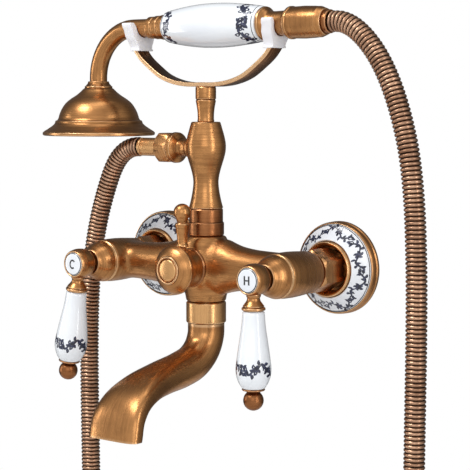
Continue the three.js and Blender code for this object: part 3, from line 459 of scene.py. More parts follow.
def mesh_of(name, grids):
    """One mesh from grids, each a dict of rings and, where wanted, loop, wear and painted light, and
    lengthwise.
    """
    corners, faces, wear_and_light, brush = [], [], [], []
    for grid in grids:
        rings = grid["rings"]
        count, sides, _ = rings.shape
        faces += grid_faces(count, sides, grid.get("loop"), sum(len(part) for part in corners))
        corners.append(rings.reshape(-1, 3))
        wear_and_light.append(np.repeat(grid.get("wear_and_light", np.zeros(count)), sides))
        brush.append(brushing(rings, grid.get("lengthwise")).reshape(-1, 3))
    mesh = bpy.data.meshes.new(name)
    mesh.from_pydata((np.vstack(corners) * MM).tolist(), [], faces)
    mark(mesh, np.concatenate(wear_and_light), np.vstack(brush))
    return mesh


def mark(mesh, wear_and_light, brush):
    """Keeps each point's wear and painted light, and its brush coordinates, for the materials."""
    values = mesh.attributes.new("wear_and_light", "FLOAT", "POINT").data
    values.foreach_set("value", wear_and_light.astype(np.float32))
    vectors = mesh.attributes.new("brush", "FLOAT_VECTOR", "POINT").data
    vectors.foreach_set("vector", brush.astype(np.float32).ravel())


def facing_out(mesh, merge=False):
    """Turns the faces out, and merges what coincides where asked."""
    work = bmesh.new()
    work.from_mesh(mesh)
    if merge:
        bmesh.ops.remove_doubles(work, verts=work.verts, dist=2e-6)
        bmesh.ops.dissolve_degenerate(work, edges=work.edges, dist=1e-7)
    bmesh.ops.recalc_face_normals(work, faces=work.faces)
    work.to_mesh(mesh)
    work.free()
    return mesh


def cleaned(mesh, sharp=38.0):
    """Merged, facing out, and smooth except at edges that turn more than sharp degrees."""
    facing_out(mesh, merge=True)
    mesh.shade_smooth()
    mesh.set_sharp_from_angle(angle=math.radians(sharp))
    return mesh


def add(name, mesh, place, body, material, replaces=()):
    piece = bpy.data.objects.new(name, mesh)
    bpy.context.scene.collection.objects.link(piece)
    mesh.materials.append(material)
    piece.matrix_world = place
    if body:
        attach(piece, body)
    if replaces:
        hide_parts(*replaces)
    return piece


def add_grid(name, grid, place, body, material, replaces, sharp=38.0):
    return add(name, cleaned(mesh_of(name, [grid]), sharp), place, body, material, replaces)


def turned(name, corners, place, body, material, replaces=(), sides=72, lengthwise=False):
    """A body turned about its local Z from corners of (radius, height, rounding)."""
    ring = corners[0][0] > 0
    profile = outline(corners)
    grid = {"rings": turned_rings(profile, sides), "loop": ring, "wear_and_light": lit_and_worn(profile, ring)}
    grid["lengthwise"] = lengthwise
    return add_grid(name, grid, place, body, material, replaces)


def hexagon_rings(across, stations, sides=72):
    """Rings of a hexagon, each kept inside a circle: stations are (height, circle radius)."""
    sixth = math.pi / 3
    angles = around(sides)
    flat = (across / 2) / np.cos((angles + sixth / 2) % sixth - sixth / 2)
    return np.array([polar(np.minimum(flat, limit), angles, height) for height, limit in stations])


def hexagon_nut(name, across, start, end, bore, place, material, replaces):
    """A nut on the root body, with both ends chamfered to a circle, and an open bore."""
    corner, chamfer = across / math.sqrt(3) - 0.3, 1.3
    outside = hexagon_rings(across, [
        (start, across / 2 - 0.2), (start + 0.1, across / 2), (start + chamfer, corner),
        (end - chamfer, corner), (end - 0.1, across / 2), (end, across / 2 - 0.2),
    ])
    inside = turned_rings(np.array([[bore, end], [bore, start]]), outside.shape[1])
    # painted light: chamfer edges painted bright as highlight and wear, the bore painted darker as shade
    wear_and_light = np.array([0.0, 0.5, 0.3, 0.3, 0.5, 0.0, -0.6, -0.6])
    grid = {"rings": np.vstack([outside, inside]), "loop": True, "wear_and_light": wear_and_light}
    return add_grid(name, grid, place, "root", material, replaces, 28.0)


def swept_rings(line, section, normal):
    """A section of (side, up) points carried along a line; up lies in the plane across normal."""
    forward, normal = directions(line), np.array(normal, float)
    side = normal - forward * (forward @ normal)[:, None]
    side /= np.linalg.norm(side, axis=1, keepdims=True)
    up = np.cross(side, forward)
    return line[:, None] + side[:, None] * section[None, :, :1] + up[:, None] * section[None, :, 1:]


def circle(radius, sides):
    angles = around(sides)
    return np.stack([radius * np.cos(angles), radius * np.sin(angles)], axis=1)


# ---- camera

CAMERA_PLACE = (0.6745, -0.845, 0.113)
CAMERA_YAW, CAMERA_PITCH = math.radians(39.23), math.radians(-5.07)
SENSOR, LENS = 36.0, 120.7


def photo_camera():
    camera = bpy.data.objects.new("camera", bpy.data.cameras.new("camera"))
    camera.data.sensor_width, camera.data.lens = SENSOR, LENS
    camera.location = CAMERA_PLACE
    level = math.cos(CAMERA_PITCH)
    forward = (-math.sin(CAMERA_YAW) * level, math.cos(CAMERA_YAW) * level, math.sin(CAMERA_PITCH))
    camera.rotation_mode = "QUATERNION"
    camera.rotation_quaternion = Vector(forward).to_track_quat("-Z", "Y")
    bpy.context.scene.collection.objects.link(camera)
    bpy.context.scene.camera = camera


photo_camera()


# ---- hose

HOSE_RADIUS = 6.7
RIB_PITCH = 2.7
RIB_DEPTH = 1.3
RIB_STEPS = 6  # rings in one rib
HOSE_ROUTE = [
    (-58.4, -49.3, 78), (-65.8, -49.3, 77.3), (-73, -49.3, 74.4), (-79.2, -49.4, 69.2), (-84.1, -49.5, 62.2),
    (-88.6, -49.6, 52.8), (-92.7, -49.7, 42.6), (-96.8, -49.9, 30.4), (-101, -50, 14.5), (-104.6, -50, -5),
    (-107.1, -50, -30), (-108.3, -50, -62), (-108.4, -50, -102), (-107.7, -50, -160), (-107, -50, -240),
    (-106.5, -50, -355), (-99.9, -50, -394.8), (-80.7, -50, -431.5), (-50.7, -50, -461),
    (28.8, -50, -486.5), (108.2, -50, -461), (138.2, -50, -431.5), (157.4, -50, -394.8), (164, -50, -355),
    (164.6, -50, -210), (165.6, -50, -90), (166, -50, -30), (165.5, -50, 12), (163.4, -49.9, 50),
    (159.7, -49.8, 77), (155.5, -49.7, 94), (150.7, -49.6, 108.4), (145.6, -49.5, 120.4),
    (140.6, -49.4, 129.8), (135.3, -49.3, 137.8), (129.6, -49.3, 144.7), (123.5, -49.3, 150.5),
    (117, -49.3, 155), (109.6, -49.3, 157.9), (102.1, -49.3, 158.4),
]


def corrugated_hose():
    """The hose as one ribbed tube, whose right leg follows the hand shower."""
    line = resampled(spline(HOSE_ROUTE, 24), RIB_PITCH / RIB_STEPS)
    phase = np.arange(len(line)) % RIB_STEPS / RIB_STEPS
    swell = np.sin(math.pi * phase) ** 0.7
    radius = HOSE_RADIUS - RIB_DEPTH * (1 - swell)
    thin = swept_rings(line, circle(1.0, 22), (0, 1, 0))
    rings = line[:, None] + (thin - line[:, None]) * radius[:, None, None]
    # painted shade: lowest in the grooves, which the hose material paints nearly black
    grid = {"rings": rings, "wear_and_light": 2 * swell - 1}
    hose = add_grid("shower_hose", grid, HERE, None, BRONZE, ("hose_run_fixed", "hose_run_handset"), 180.0)
    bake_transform(hose)
    return hose, line


def riser_hose_nut():
    start, end = sorted(-x for x in span("hose_nut_riser", "x"))
    across = 19.4
    return hexagon_nut("riser_hose_nut", across, start, end, 7.5, OUTLET, ANTIQUE, ("hose_nut_riser",))


def riser_hose_sleeve():
    start, end = sorted(-x for x in span("hose_ferrule_riser", "x"))
    radius = reach("hose_ferrule_riser", "z")
    corners = [
        (4, start), (radius, start, 0.5),
        *from_corner(radius, end, [
            (0, -3.4, 0.3), (-0.4, -3, 0.2), (-0.4, -2.4, 0.2), (0, -2, 0.3), (0, -0.5, 0.4),
        ]),
        (radius - 0.5, end), (4, end),
    ]
    return turned("riser_hose_sleeve", corners, OUTLET, "root", GILT, ("hose_ferrule_riser",), 48)


def handset_hose_nut():
    """The long tapered nut that draws the hose onto the hand shower."""
    start, end = span("hose_nut_handset", "x")
    radius = reach("hose_nut_handset", "z")
    corners = [
        (7.5, start), *from_corner(radius, start, [
            (-0.7, 0, 0.4), (0, 0.9, 0.5), (0, 2.4, 0.3), (-0.45, 3, 0.3), (-0.35, 7, 1),
            (-0.2, 12, 4), (-0.5, 20, 4),
        ]),
        (radius - 0.75, end - 5.4, 1), (radius - 0.75, end - 4, 0.5), (8.2, end, 0.5), (4.2, end),
        (4.2, end - 16.6), (7.5, end - 16.6),
    ]
    return turned("handset_hose_nut", corners, HANDSET, "handset", ANTIQUE, ("hose_nut_handset",))


def handset_hose_ring():
    start, end = span("hose_ferrule_handset", "x")
    radius = reach("hose_ferrule_handset", "z")
    corners = [(4.2, start), (radius, start, 0.8), (radius, end, 0.9), (4.2, end)]
    return turned("handset_hose_ring", corners, HANDSET, "handset", UMBER, ("hose_ferrule_handset",), 56)


def add_hose():
    fittings = [riser_hose_nut(), riser_hose_sleeve(), handset_hose_nut(), handset_hose_ring()]
    hose, line = corrugated_hose()


add_hose()


# ---- painted decoration

def ribbon(points, widths):
    """A stroke in the flat: its middle line and its width at each point."""
    return np.array(points, float), np.array(widths, float)


def straight(start, end, width):
    points = np.linspace(start, end, 5)
    return ribbon(points, np.full(5, width))


def hoop(radius, sides, width):
    """A stroke that runs once round at a radius."""
    turns = np.linspace(0, 2 * math.pi * radius, sides + 1)
    return [ribbon(np.stack([turns, 0 * turns], axis=1), np.full(sides + 1, width))]


def leaf(root, angle, length, width):
    t = np.linspace(0.02, 0.98, 7)
    bend = 0.18 * length * np.sin(math.pi * t)
    along = np.array([math.cos(angle), math.sin(angle)])
    aside = np.array([-along[1], along[0]])
    points = np.array(root) + t[:, None] * length * along + bend[:, None] * aside
    return ribbon(points, width * np.sin(math.pi * t) ** 0.8 + 0.05)


def curl(eye, radius, turns, width):
    """A stroke that winds into its eye and thins on the way."""
    t = np.linspace(0, 1, 20)
    angle = 2 * math.pi * turns * t
    size = radius * (1 - 0.78 * t)
    points = np.array(eye) + np.stack([size * np.cos(angle), size * np.sin(angle)], axis=1)
    return ribbon(points, width * (1 - 0.45 * t))


def flower(centre, size, start):
    """Five broad petals round a small eye."""
    petals = [leaf(centre, start + 0.4 * math.pi * i, size, 0.62 * size) for i in range(5)]
    return petals + [leaf(centre, start, 0.25 * size, 0.3 * size)]


def branch(centre, half, side, length):
    """A stem that swings away from a flower, with leaves on both sides and a curl at its tip."""
    share = np.linspace(0, 1, 14)
    u = centre[0] + side * (0.25 * half + share * length)
    v = centre[1] + side * 0.62 * half * np.sin(1.25 * math.pi * share)
    strokes = [ribbon(np.stack([u, v], axis=1), half * (0.15 + 0.15 * np.sin(math.pi * share)))]
    eye = (u[-1] - side * 0.3 * half, v[-1] + 0.3 * half * side)
    strokes.append(curl(eye, 0.4 * half, side * 1.3, 0.17 * half))
    for step, lean in ((3, 1.0), (5, -1.1), (8, 1.2), (10, -0.9), (12, 0.5)):
        heading = math.atan2(v[step + 1] - v[step], u[step + 1] - u[step])
        strokes.append(leaf((u[step], v[step]), heading + lean, 0.7 * half, 0.4 * half))
    return strokes


def vine(radius, half, repeats):
    """A flowering vine that closes on itself: u runs round at a radius, v across, both in mm."""
    pitch = 2 * math.pi * radius / repeats
    strokes = []
    for i in range(repeats):
        centre = ((i + 0.5) * pitch, (0.12 if i % 2 else -0.12) * half)
        strokes += flower(centre, 0.7 * half, 0.7 * i)
        for side in (-1, 1):
            strokes += branch(centre, half, side, 0.43 * pitch)
    return strokes


def painted(name, strokes, wrap, place, body, material):
    """Strokes as thin closed bodies on a surface; wrap(u, v, lift) gives points in mm."""
    grids = []
    for points, widths in strokes:
        forward = directions(points)
        aside = np.stack([-forward[:, 1], forward[:, 0]], axis=1) * widths[:, None] / 2
        one, other = points - aside, points + aside
        corners = [(one, -SUNK), (one, PROUD), (other, PROUD), (other, -SUNK)]
        rings = np.stack([wrap(side[:, 0], side[:, 1], lift) for side, lift in corners], axis=1)
        grids.append({"rings": rings})
    return add(name, facing_out(mesh_of(name, grids)), place, body, material)


def onto_turned(line, mean_radius, centre):
    """Wraps round a turned body: u round it, v along its axis from centre."""
    radii, heights = np.array(line)[:, :2].T

    def wrap(u, v, lift):
        radius = np.interp(centre + v, heights, radii) + lift
        return polar(radius, u / mean_radius, centre + v)
    return wrap


def onto_face(face, mean_radius):
    """Wraps onto a face that looks along Z: u round it, v outwards from its mean radius."""
    radii, heights = np.array(face)[::-1, :2].T

    def wrap(u, v, lift):
        radius = mean_radius + v
        return polar(radius, u / mean_radius, np.interp(radius, radii, heights) + lift)
    return wrap


LETTER_H = [
    straight((-1.7, -2.8), (-1.7, 2.8), 1.15), straight((1.7, -2.8), (1.7, 2.8), 1.15),
    straight((-1.7, 0), (1.7, 0), 0.85),
]
C_GAP = 0.75  # half the angle that the letter C leaves open
C_ANGLES = np.linspace(C_GAP, 2 * math.pi - C_GAP, 22)
LETTER_C = [ribbon([(2.1 * math.cos(a), 2.7 * math.sin(a)) for a in C_ANGLES], np.full(22, 1.15))]


# ---- wall connections

def wall_flange(side, place):
    back, front = depths(f"{side}_wall_flange")
    radius = reach(f"{side}_wall_flange", "z")
    recess = reach(f"{side}_flange_ring", "z") + GAP
    corners = [
        (12.4, 2), (radius - 2.5, 2), (radius - 2.5, back), (radius, back, 0.5), (radius, back + 2, 0.9),
        (radius - 0.7, back + 2.9, 0.3), (radius - 0.7, back + 3.5, 0.3), (radius - 0.1, back + 4.3, 0.8),
        (radius - 0.3, front - 1.2, 0.9), (recess + 0.5, front, 0.35), (recess, front, 0.15), (recess, 4),
        (12.4, 4),
    ]
    turned(f"{side}_flange", corners, place, "root", ANTIQUE, (f"{side}_wall_flange",), 96)


def flange_porcelain(side, place):
    """The glazed ring, with a vine painted round its face."""
    back, front = depths(f"{side}_flange_ring")
    outer = reach(f"{side}_flange_ring", "z")
    inner = reach(f"{side}_flange_cup", "z") + GAP
    edge = back + 3.9
    face = curve([
        (outer - 0.9, edge), (outer - 1.9, edge + 0.45), (24.6, edge + 2.3), (22, edge + 4.7),
        (inner + 1.6, front - 1.1), (inner + 0.6, front - 0.1),
    ])
    corners = [(inner, back), (outer, back), (outer, edge - 0.7, 0.6), *face, (inner, front - 0.4, 0.3)]
    turned(f"{side}_porcelain_ring", corners, place, "root", PORCELAIN, (f"{side}_flange_ring",), 96)
    mean, rim = (outer + inner) / 2 + 0.7, outer - 0.5
    painted(f"{side}_ring_vine", vine(mean, 3.9, 7), onto_face(face, mean), place, "root", NAVY)
    painted(f"{side}_ring_edge_line", hoop(rim, 96, 0.45), onto_face(face, rim), place, "root", INK)


def flange_cup(side, place):
    back, front = depths(f"{side}_flange_cup")
    rim = reach(f"{side}_flange_cup", "z") - 0.8
    nut_corner = 25 / math.sqrt(3)
    throat = nut_corner + 0.35
    inside = curve([(rim - 0.5, front - 0.3), (rim - 1.4, front - 1.0), (throat + 0.4, front - 2.6)])
    corners = [
        (10.8, back), (rim + 0.8, back), (rim + 0.8, back + 4.3, 0.4), (rim + 0.7, front - 1.4, 0.5),
        (rim + 0.1, front - 0.1, 0.3), *inside, (throat, front - 3.4, 0.3), (throat, back + 4.6, 0.5),
        (10.8, back + 4.3),
    ]
    turned(f"{side}_cup", corners, place, "root", GILT, (f"{side}_flange_cup",), 96)


def wall_union(side, place):
    """The eccentric union's pipe, threaded behind the wall."""
    back, front = depths(f"{side}_wall_union")
    radius, bore = reach(f"{side}_wall_union", "z"), 7.5
    threads = []
    for i in range(7):
        start = back + 0.6 + 1.8 * i
        threads += [(radius - 1.1, start, 0.1), (radius, start + 0.7, 0.1), (radius, start + 1.1, 0.1)]
    corners = [(bore, back), (radius - 1.1, back), *threads, (radius - 1.1, 0, 0.1), (radius, 0.8, 0.2)]
    corners += [(radius, front), (bore, front)]
    turned(f"{side}_union_pipe", corners, place, "root", RAW_BRASS, (f"{side}_wall_union",), 56)


def union_nut(side, place):
    """The nut stands on a corner, so the height of its node is its size across corners."""
    start, end = depths(f"{side}_union_nut")
    across = 2 * reach(f"{side}_union_nut", "z") * math.sqrt(3) / 2
    hexagon_nut(f"{side}_hex_nut", across, start, end, 10.7, place, ANTIQUE, (f"{side}_union_nut",))
    collar = [(7.9, end - 9), (10.5, end - 9), (10.5, end - 0.2, 0.3), (7.9, end - 0.2)]
    turned(f"{side}_hex_nut_lip", collar, place, "root", UMBER, (), 56)


# ---- valves and levers

HUB_AXIS = 6.7  # from the back of a hub to its lever's axis


def bonnet(side, place):
    back, front = depths(f"{side}_bonnet")
    radius = reach(f"{side}_bonnet", "z")
    corners = [
        (9.5, back), (radius, back, 0.3), (radius, back + 0.7, 0.3), (radius - 0.35, back + 1.0, 0.2),
        *curve([(radius - 0.4, back + 1.6), (radius - 1.3, back + 4.6), (radius - 2.8, back + 7.6),
                (radius - 4.6, back + 10.3), (8.9, front - 0.7)]),
        (8.2, front, 0.4), (4.6, front), (4.6, front - 4.9), (9.5, front - 5.9),
    ]
    turned(f"{side}_valve_bonnet", corners, place, "root", ANTIQUE, (f"{side}_bonnet",), 80)


def valve_lip(side, place):
    """The crisp turned edge at the mouth of a valve body."""
    front = depths(f"{side}_bonnet")[0] - GAP
    corners = [
        (12.5, front - 1.2), (14.2, front - 1.2, 0.3), (14.15, front - 0.3, 0.3), (13.8, front, 0.2),
        (12.5, front),
    ]
    turned(f"{side}_valve_lip", corners, place, "root", GILT, (), 80)


def lever_hub(side, place, body):
    back, front = depths(f"{side}_lever_hub")
    radius, recess = 10.0, 7.9
    bulge = curve([
        (8.5, back + 0.3), (9.5, back + 2.2), (radius, back + 5.5), (radius, back + 8.5), (9.4, front - 1.6),
    ])
    corners = [
        (4.3, back), (8.1, back, 0.4), *bulge, (8.9, front - 0.4, 0.4), (recess + 0.35, front, 0.3),
        (recess, front - 0.3, 0.1), (recess, front - 2.4), (4.3, front - 2.4),
    ]
    turned(f"{side}_hub", corners, place, body, ANTIQUE, (f"{side}_lever_hub",), 72)


def index_button(side, place, body, strokes):
    """A porcelain button with its hot or cold letter."""
    back, front = depths(f"{side}_index_button")
    radius = 7.6
    dome = curve([(radius, front - 0.9), (radius - 0.8, front - 0.35), (4, front - 0.08), (0, front)])
    corners = [(0, back), (radius, back), *dome]
    turned(f"{side}_button", corners, place, body, PORCELAIN, (f"{side}_index_button",), 64)
    radii, heights = np.array(dome)[::-1, :2].T

    def on_dome(u, v, lift):
        return np.stack([u, v, np.interp(np.hypot(u, v), radii, heights) + lift], axis=1)
    painted(f"{side}_letter", strokes, on_dome, place, body, INK)
    edge = radius - 0.4
    painted(f"{side}_button_line", hoop(edge, 64, 0.45), onto_face(dome, edge), place, body, INK)


def ball(radius, height, start):
    """Corners up the side of a ball, from start degrees to nearly its top."""
    angles = np.radians(np.linspace(start, 88, 14))
    return [(radius * math.cos(a), height + radius * math.sin(a), 0) for a in angles]


def lever_parts(side, place, body):
    """Collar, porcelain grip and finial, hanging from the hub; heights count down from its axis."""
    collar = [
        (0, 6), (2.5, 6), (2.5, 8.6), (4.7, 8.9, 0.5), (4.5, 10.2, 0.5),
        *curve([(3.95, 11.2), (4.3, 12.8), (6.1, 15.4)]), (6.7, 16.2, 0.3), (6.4, 16.6, 0.2),
        (7.4, 17.4, 0.5), (7.4, 18.6, 0.5), (6.4, 19), (0, 19),
    ]
    turned(f"{side}_collar", collar, place, body, ANTIQUE, (f"{side}_lever_collar",), 64)
    top, bottom = 19.3, 67.3
    grip = curve([
        (6.9, top + 0.9), (7.5, top + 9), (9.1, top + 20), (10.5, top + 30), (11, top + 36),
        (10.6, top + 40.5), (9.2, top + 44.6), (7.6, bottom - 0.7),
    ], 6)
    corners = [(0, top), (6.1, top, 0.4), *grip, (7, bottom, 0.3), (0, bottom)]
    turned(f"{side}_porcelain_grip", corners, place, body, PORCELAIN, (f"{side}_lever_porcelain",), 72)
    belly = 10.7
    painted(f"{side}_grip_vine", vine(belly, 5.2, 4), onto_turned(grip, belly, 54.8), place, body, NAVY)
    centre, radius = 75.0, 6.4
    finial = [
        (0, bottom + 0.3), (7.0, bottom + 0.3, 0.3), (7.3, bottom + 0.8, 0.3), (6.9, bottom + 1.4, 0.3),
        (4.9, bottom + 1.8, 0.4), *ball(radius, centre, -50), (0, centre + radius),
    ]
    turned(f"{side}_finial", finial, place, body, UMBER, (f"{side}_lever_finial",), 64)


def add_side(side, tilt, letter):
    axis = middle(f"{side}_wall_flange", "x")
    wall = at(axis, 0, 0, OUT)
    wall_flange(side, wall)
    flange_porcelain(side, wall)
    flange_cup(side, wall)
    wall_union(side, wall)
    union_nut(side, wall)
    bonnet(side, wall)
    valve_lip(side, wall)
    lever = wall @ Matrix.Rotation(math.radians(tilt), 4, "Z")
    body = f"{side}_lever"
    lever_hub(side, lever, body)
    index_button(side, lever, body, letter)
    hub_axis = depths(f"{side}_lever_hub")[0] + HUB_AXIS
    hanging = lever @ at(0, 0, hub_axis, Matrix.Rotation(math.pi / 2, 4, "X"))
    lever_parts(side, hanging, body)


add_side("hot", 0, LETTER_H)
add_side("cold", -9, LETTER_C)


# ---- mixer body

ARM = [  # distance from the middle, top, bottom and half depth of the cross arm
    (0, 15.5, -15, 14.6), (9, 17, -16.4, 14.6), (17, 18.6, -17.4, 14.3), (22, 17, -16.2, 14.1),
    (29, 14.9, -14.8, 13.8), (40, 13.3, -13.7, 13.4), (52, 12.7, -13, 13), (75, 12.3, -12.5, 13),
]


def saddle(side):
    """Half of the cross arm, deep where it leaves the barrel and round where it meets the valve."""
    angles, rings = around(40), []
    for x, top, bottom, half in spline(ARM, 4):
        up = np.where(np.sin(angles) > 0, top, -bottom)
        rings.append(np.stack([
            side * x + 0 * angles, half * np.cos(angles) - AXIS_DEPTH, up * np.sin(angles),
        ], axis=1))
    return {"rings": np.array(rings)}


def placed_grid(corners, sides, place):
    """A turned grid, moved to its place."""
    world = np.array(place, float)
    return {"rings": turned_rings(outline(corners), sides) @ world[:3, :3].T + world[:3, 3] / MM}


def valve_grids(side):
    """One valve, open in front, and the tail that runs back to the union."""
    place = at(middle(f"{side}_wall_flange", "x"), 0, 0, OUT)
    front, back = depths("hot_bonnet")[0] - GAP, AXIS_DEPTH - 13.3
    valve = [
        (0, back), (12.5, back, 1), (13.5, back + 1.4, 1), (14.4, back + 14, 8), (14.7, back + 21, 6),
        (14.6, front - 6, 6), (14.1, front - 1.2, 0.6), (0, front - 1.2),
    ]
    tail = [(0, 25.5), (7.6, 25.5), (7.6, back + 2), (0, back + 2)]
    return [placed_grid(valve, 64, place), placed_grid(tail, 40, place)]


def casting_grids():
    top, bottom = span("riser_nut", "z")[0] - GAP, span("spout_nut", "z")[1] + GAP
    barrel = [
        (0, bottom), (13.2, bottom, 0.6), (13.7, bottom + 3, 2), (15.2, -12, 5), (15.6, 8, 5),
        (14.9, top - 4, 4), (13.4, top - 0.8, 1), (12.4, top, 0.6), (0, top),
    ]
    face, radius = depths("diverter_bonnet")[1] - 1.9, 13.3
    boss = [(0, AXIS_DEPTH), (radius, AXIS_DEPTH), (radius, face, 0.4), (0, face)]
    grids = [placed_grid(barrel, 64, UPRIGHT), placed_grid(boss, 64, OUT), saddle(1), saddle(-1)]
    return grids + valve_grids("hot") + valve_grids("cold")


def mixer_body():
    """Barrel, arms, valves and boss run together, as one casting with soft inside corners."""
    cast = bpy.data.objects.new("casting", cleaned(mesh_of("casting", casting_grids())))
    bpy.context.scene.collection.objects.link(cast)
    remesh = cast.modifiers.new("remesh", "REMESH")
    remesh.mode = "VOXEL"
    remesh.voxel_size = 0.7 * MM
    smooth = cast.modifiers.new("smooth", "SMOOTH")
    smooth.factor, smooth.iterations = 0.5, 7
    made = cast.evaluated_get(bpy.context.evaluated_depsgraph_get())
    mesh = bpy.data.meshes.new_from_object(made)
    bpy.data.objects.remove(cast)
    fill_corners(mesh, 140)
    cast_finish(mesh)
    return add("mixer_casting", mesh, HERE, "root", ANTIQUE, ("mixer_body",))


def vectors_of(items, what):
    values = np.zeros(len(items) * 3)
    items.foreach_get(what, values)
    return values.reshape(-1, 3)


def neighbours(mesh):
    """A mean over each point's neighbours, as a function of values at the points."""
    edges = np.zeros(len(mesh.edges) * 2, int)
    mesh.edges.foreach_get("vertices", edges)
    a, b = edges.reshape(-1, 2).T
    here, there = np.concatenate([a, b]), np.concatenate([b, a])
    size = len(mesh.vertices)
    count = np.maximum(np.bincount(here, minlength=size), 1)

    def mean(values):
        means = [np.bincount(here, column[there], size) / count for column in values.T]
        return np.stack(means, axis=1)
    return mean


def fill_corners(mesh, times):
    """Fills the inside corners to soft fillets and leaves what stands out as it is."""
    mean, points = neighbours(mesh), vectors_of(mesh.vertices, "co")
    for i in range(times):
        if i % 10 == 0:
            mesh.vertices.foreach_set("co", points.ravel())
            mesh.update()
            normals = vectors_of(mesh.vertex_normals, "vector")
        lean = ((mean(points) - points) * normals).sum(1)
        points = points + normals * np.maximum(lean, 0)[:, None]
    mesh.vertices.foreach_set("co", points.ravel())
    mesh.update()


def cast_finish(mesh):
    """Brush lines along the arms, round the valves and round the barrel; wear and painted light from its
    bends.
    """
    points = vectors_of(mesh.vertices, "co") / MM
    x, y, z = points.T
    on_valve = np.abs(x) > 60
    on_barrel = (np.abs(x) < 15.5) & (np.abs(z) > 13)
    along = np.where(on_barrel, z * FINE, np.where(on_valve, y * FINE, x * COARSE))
    first = np.where(on_barrel | on_valve, x * COARSE, y * FINE)
    second = np.where(on_barrel, y * COARSE, np.where(on_valve, z * COARSE, z * FINE))
    mark(mesh, bends(mesh, points), np.stack([along, first, second], axis=1))
    mesh.shade_smooth()


def bends(mesh, points):
    """How far each point stands out of the mean of its neighbours, evened out."""
    mean = neighbours(mesh)
    bend = ((points - mean(points)) * vectors_of(mesh.vertex_normals, "vector")).sum(1)[:, None]
    for _ in range(6):
        bend = 0.5 * bend + 0.5 * mean(bend)
    return np.clip(bend[:, 0] * 9 - 0.1, -1, 1)


mixer_body()


# ---- diverter

def add_diverter():
    wall = at(0, 0, 0, OUT)
    front = depths("diverter_bonnet")[1]
    back = front - 1.6
    ring = [(4.3, back), (12.6, back, 0.3), (13.1, back + 0.5, 0.3), (12.6, front, 0.4), (4.3, front)]
    turned("diverter_ring_nut", ring, wall, "root", UMBER, ("diverter_bonnet",), 72)
    start = depths("diverter_hub")[0]
    rim, face = start + 15, start + 21.4
    side = curve([(12.8, start + 3), (13, start + 8), (14, start + 11.5), (15.3, rim - 1.4)])
    dome = curve([(15.5, rim + 0.9), (14.2, rim + 2.6), (12, rim + 4.3), (9.9, rim + 5.5)])
    knob = [
        (4.3, start), (12.4, start, 0.5), (12.8, start + 0.9, 0.5), *side, (15.8, rim - 0.5, 0.4),
        (15.8, rim + 0.3, 0.35), *dome, (9.3, face - 0.7, 0.3), (9.2, face + 0.1, 0.5),
        (8.2, face + 0.35, 0.5), (7.8, face - 0.4, 0.3), (7.8, face - 2.4), (4.3, face - 2.4),
    ]
    turned("diverter_knob", knob, wall, "diverter_handle", ANTIQUE, ("diverter_hub",), 88)
    cap_back, cap_front = depths("diverter_cap")
    button = curve([(7.6, face - 0.9), (6.8, face + 0.2), (4, cap_front - 0.2), (0, cap_front + 0.1)])
    cap = [(0, cap_back), (7.6, cap_back), *button]
    turned("diverter_button", cap, wall, "diverter_handle", GILT, ("diverter_cap",), 64)
    add_diverter_lever()


def add_diverter_lever():
    foot, centre, radius = 12.8, 37, 5.7
    stem = curve([(3.3, foot + 4), (3.5, foot + 8), (4.2, foot + 13), (4.7, foot + 15.6)])
    lever = [
        (0, foot - 4), (2.4, foot - 4), (2.4, foot + 1.4), (4.3, foot + 1.6, 0.4), (4.1, foot + 2.8, 0.4),
        *stem, (4.85, foot + 16.4, 0.3), (4.5, foot + 17.1, 0.3), (3.5, foot + 17.5, 0.3),
        (3.5, foot + 18.1, 0.3), *ball(radius, centre, -46), (0, centre + radius),
    ]
    place = at(0, middle("diverter_lever", "y"), 0)
    turned("diverter_handle", lever, place, "diverter_handle", ANTIQUE, ("diverter_lever",), 56)


add_diverter()


# ---- spout

SPOUT_LINE = [  # the spout's middle line from the side: forward reach and height from its top
    (0, 0), (0.4, -8), (4.5, -17), (13.5, -24.5), (27, -28.5), (46, -31.5), (63.5, -35.5), (77.5, -42.5),
    (85, -51.5), (88.5, -64),
]


SPOUT_RADIUS = 12.2
MOUTH_HALF_WIDTH, MOUTH_HALF_HEIGHT = 20.5, 6.2


def spout_shell(inset):
    """Rings from the round top to the wide flat mouth."""
    top = span("spout_nut", "z")[0] - GAP
    line = resampled(spline(SPOUT_LINE, 12), 1.3)
    line = np.stack([0 * line[:, 0], -line[:, 0] - AXIS_DEPTH, line[:, 1] + top], axis=1)
    forward = directions(line)
    forward[[0, -1]] = (0, 0, -1)
    flat = np.clip((np.linspace(0, 1, len(line)) - 0.25) / 0.75, 0, 1)
    flat = flat * flat * (3 - 2 * flat)
    half_width = SPOUT_RADIUS + (MOUTH_HALF_WIDTH - SPOUT_RADIUS) * flat ** 1.6 - inset
    half_height = SPOUT_RADIUS + (MOUTH_HALF_HEIGHT - SPOUT_RADIUS) * flat - inset
    angles = around(88)
    squareness = 1 / (1 + 0.75 * flat)[:, None]
    wide = np.sign(np.cos(angles)) * np.abs(np.cos(angles)) ** squareness
    tall = np.sign(np.sin(angles)) * np.abs(np.sin(angles)) ** squareness
    across = np.array([1.0, 0, 0])
    up = np.cross(across, forward)
    sideways = across * (half_width[:, None] * wide)[..., None]
    return line[:, None] + sideways + up[:, None] * (half_height[:, None] * tall)[..., None]


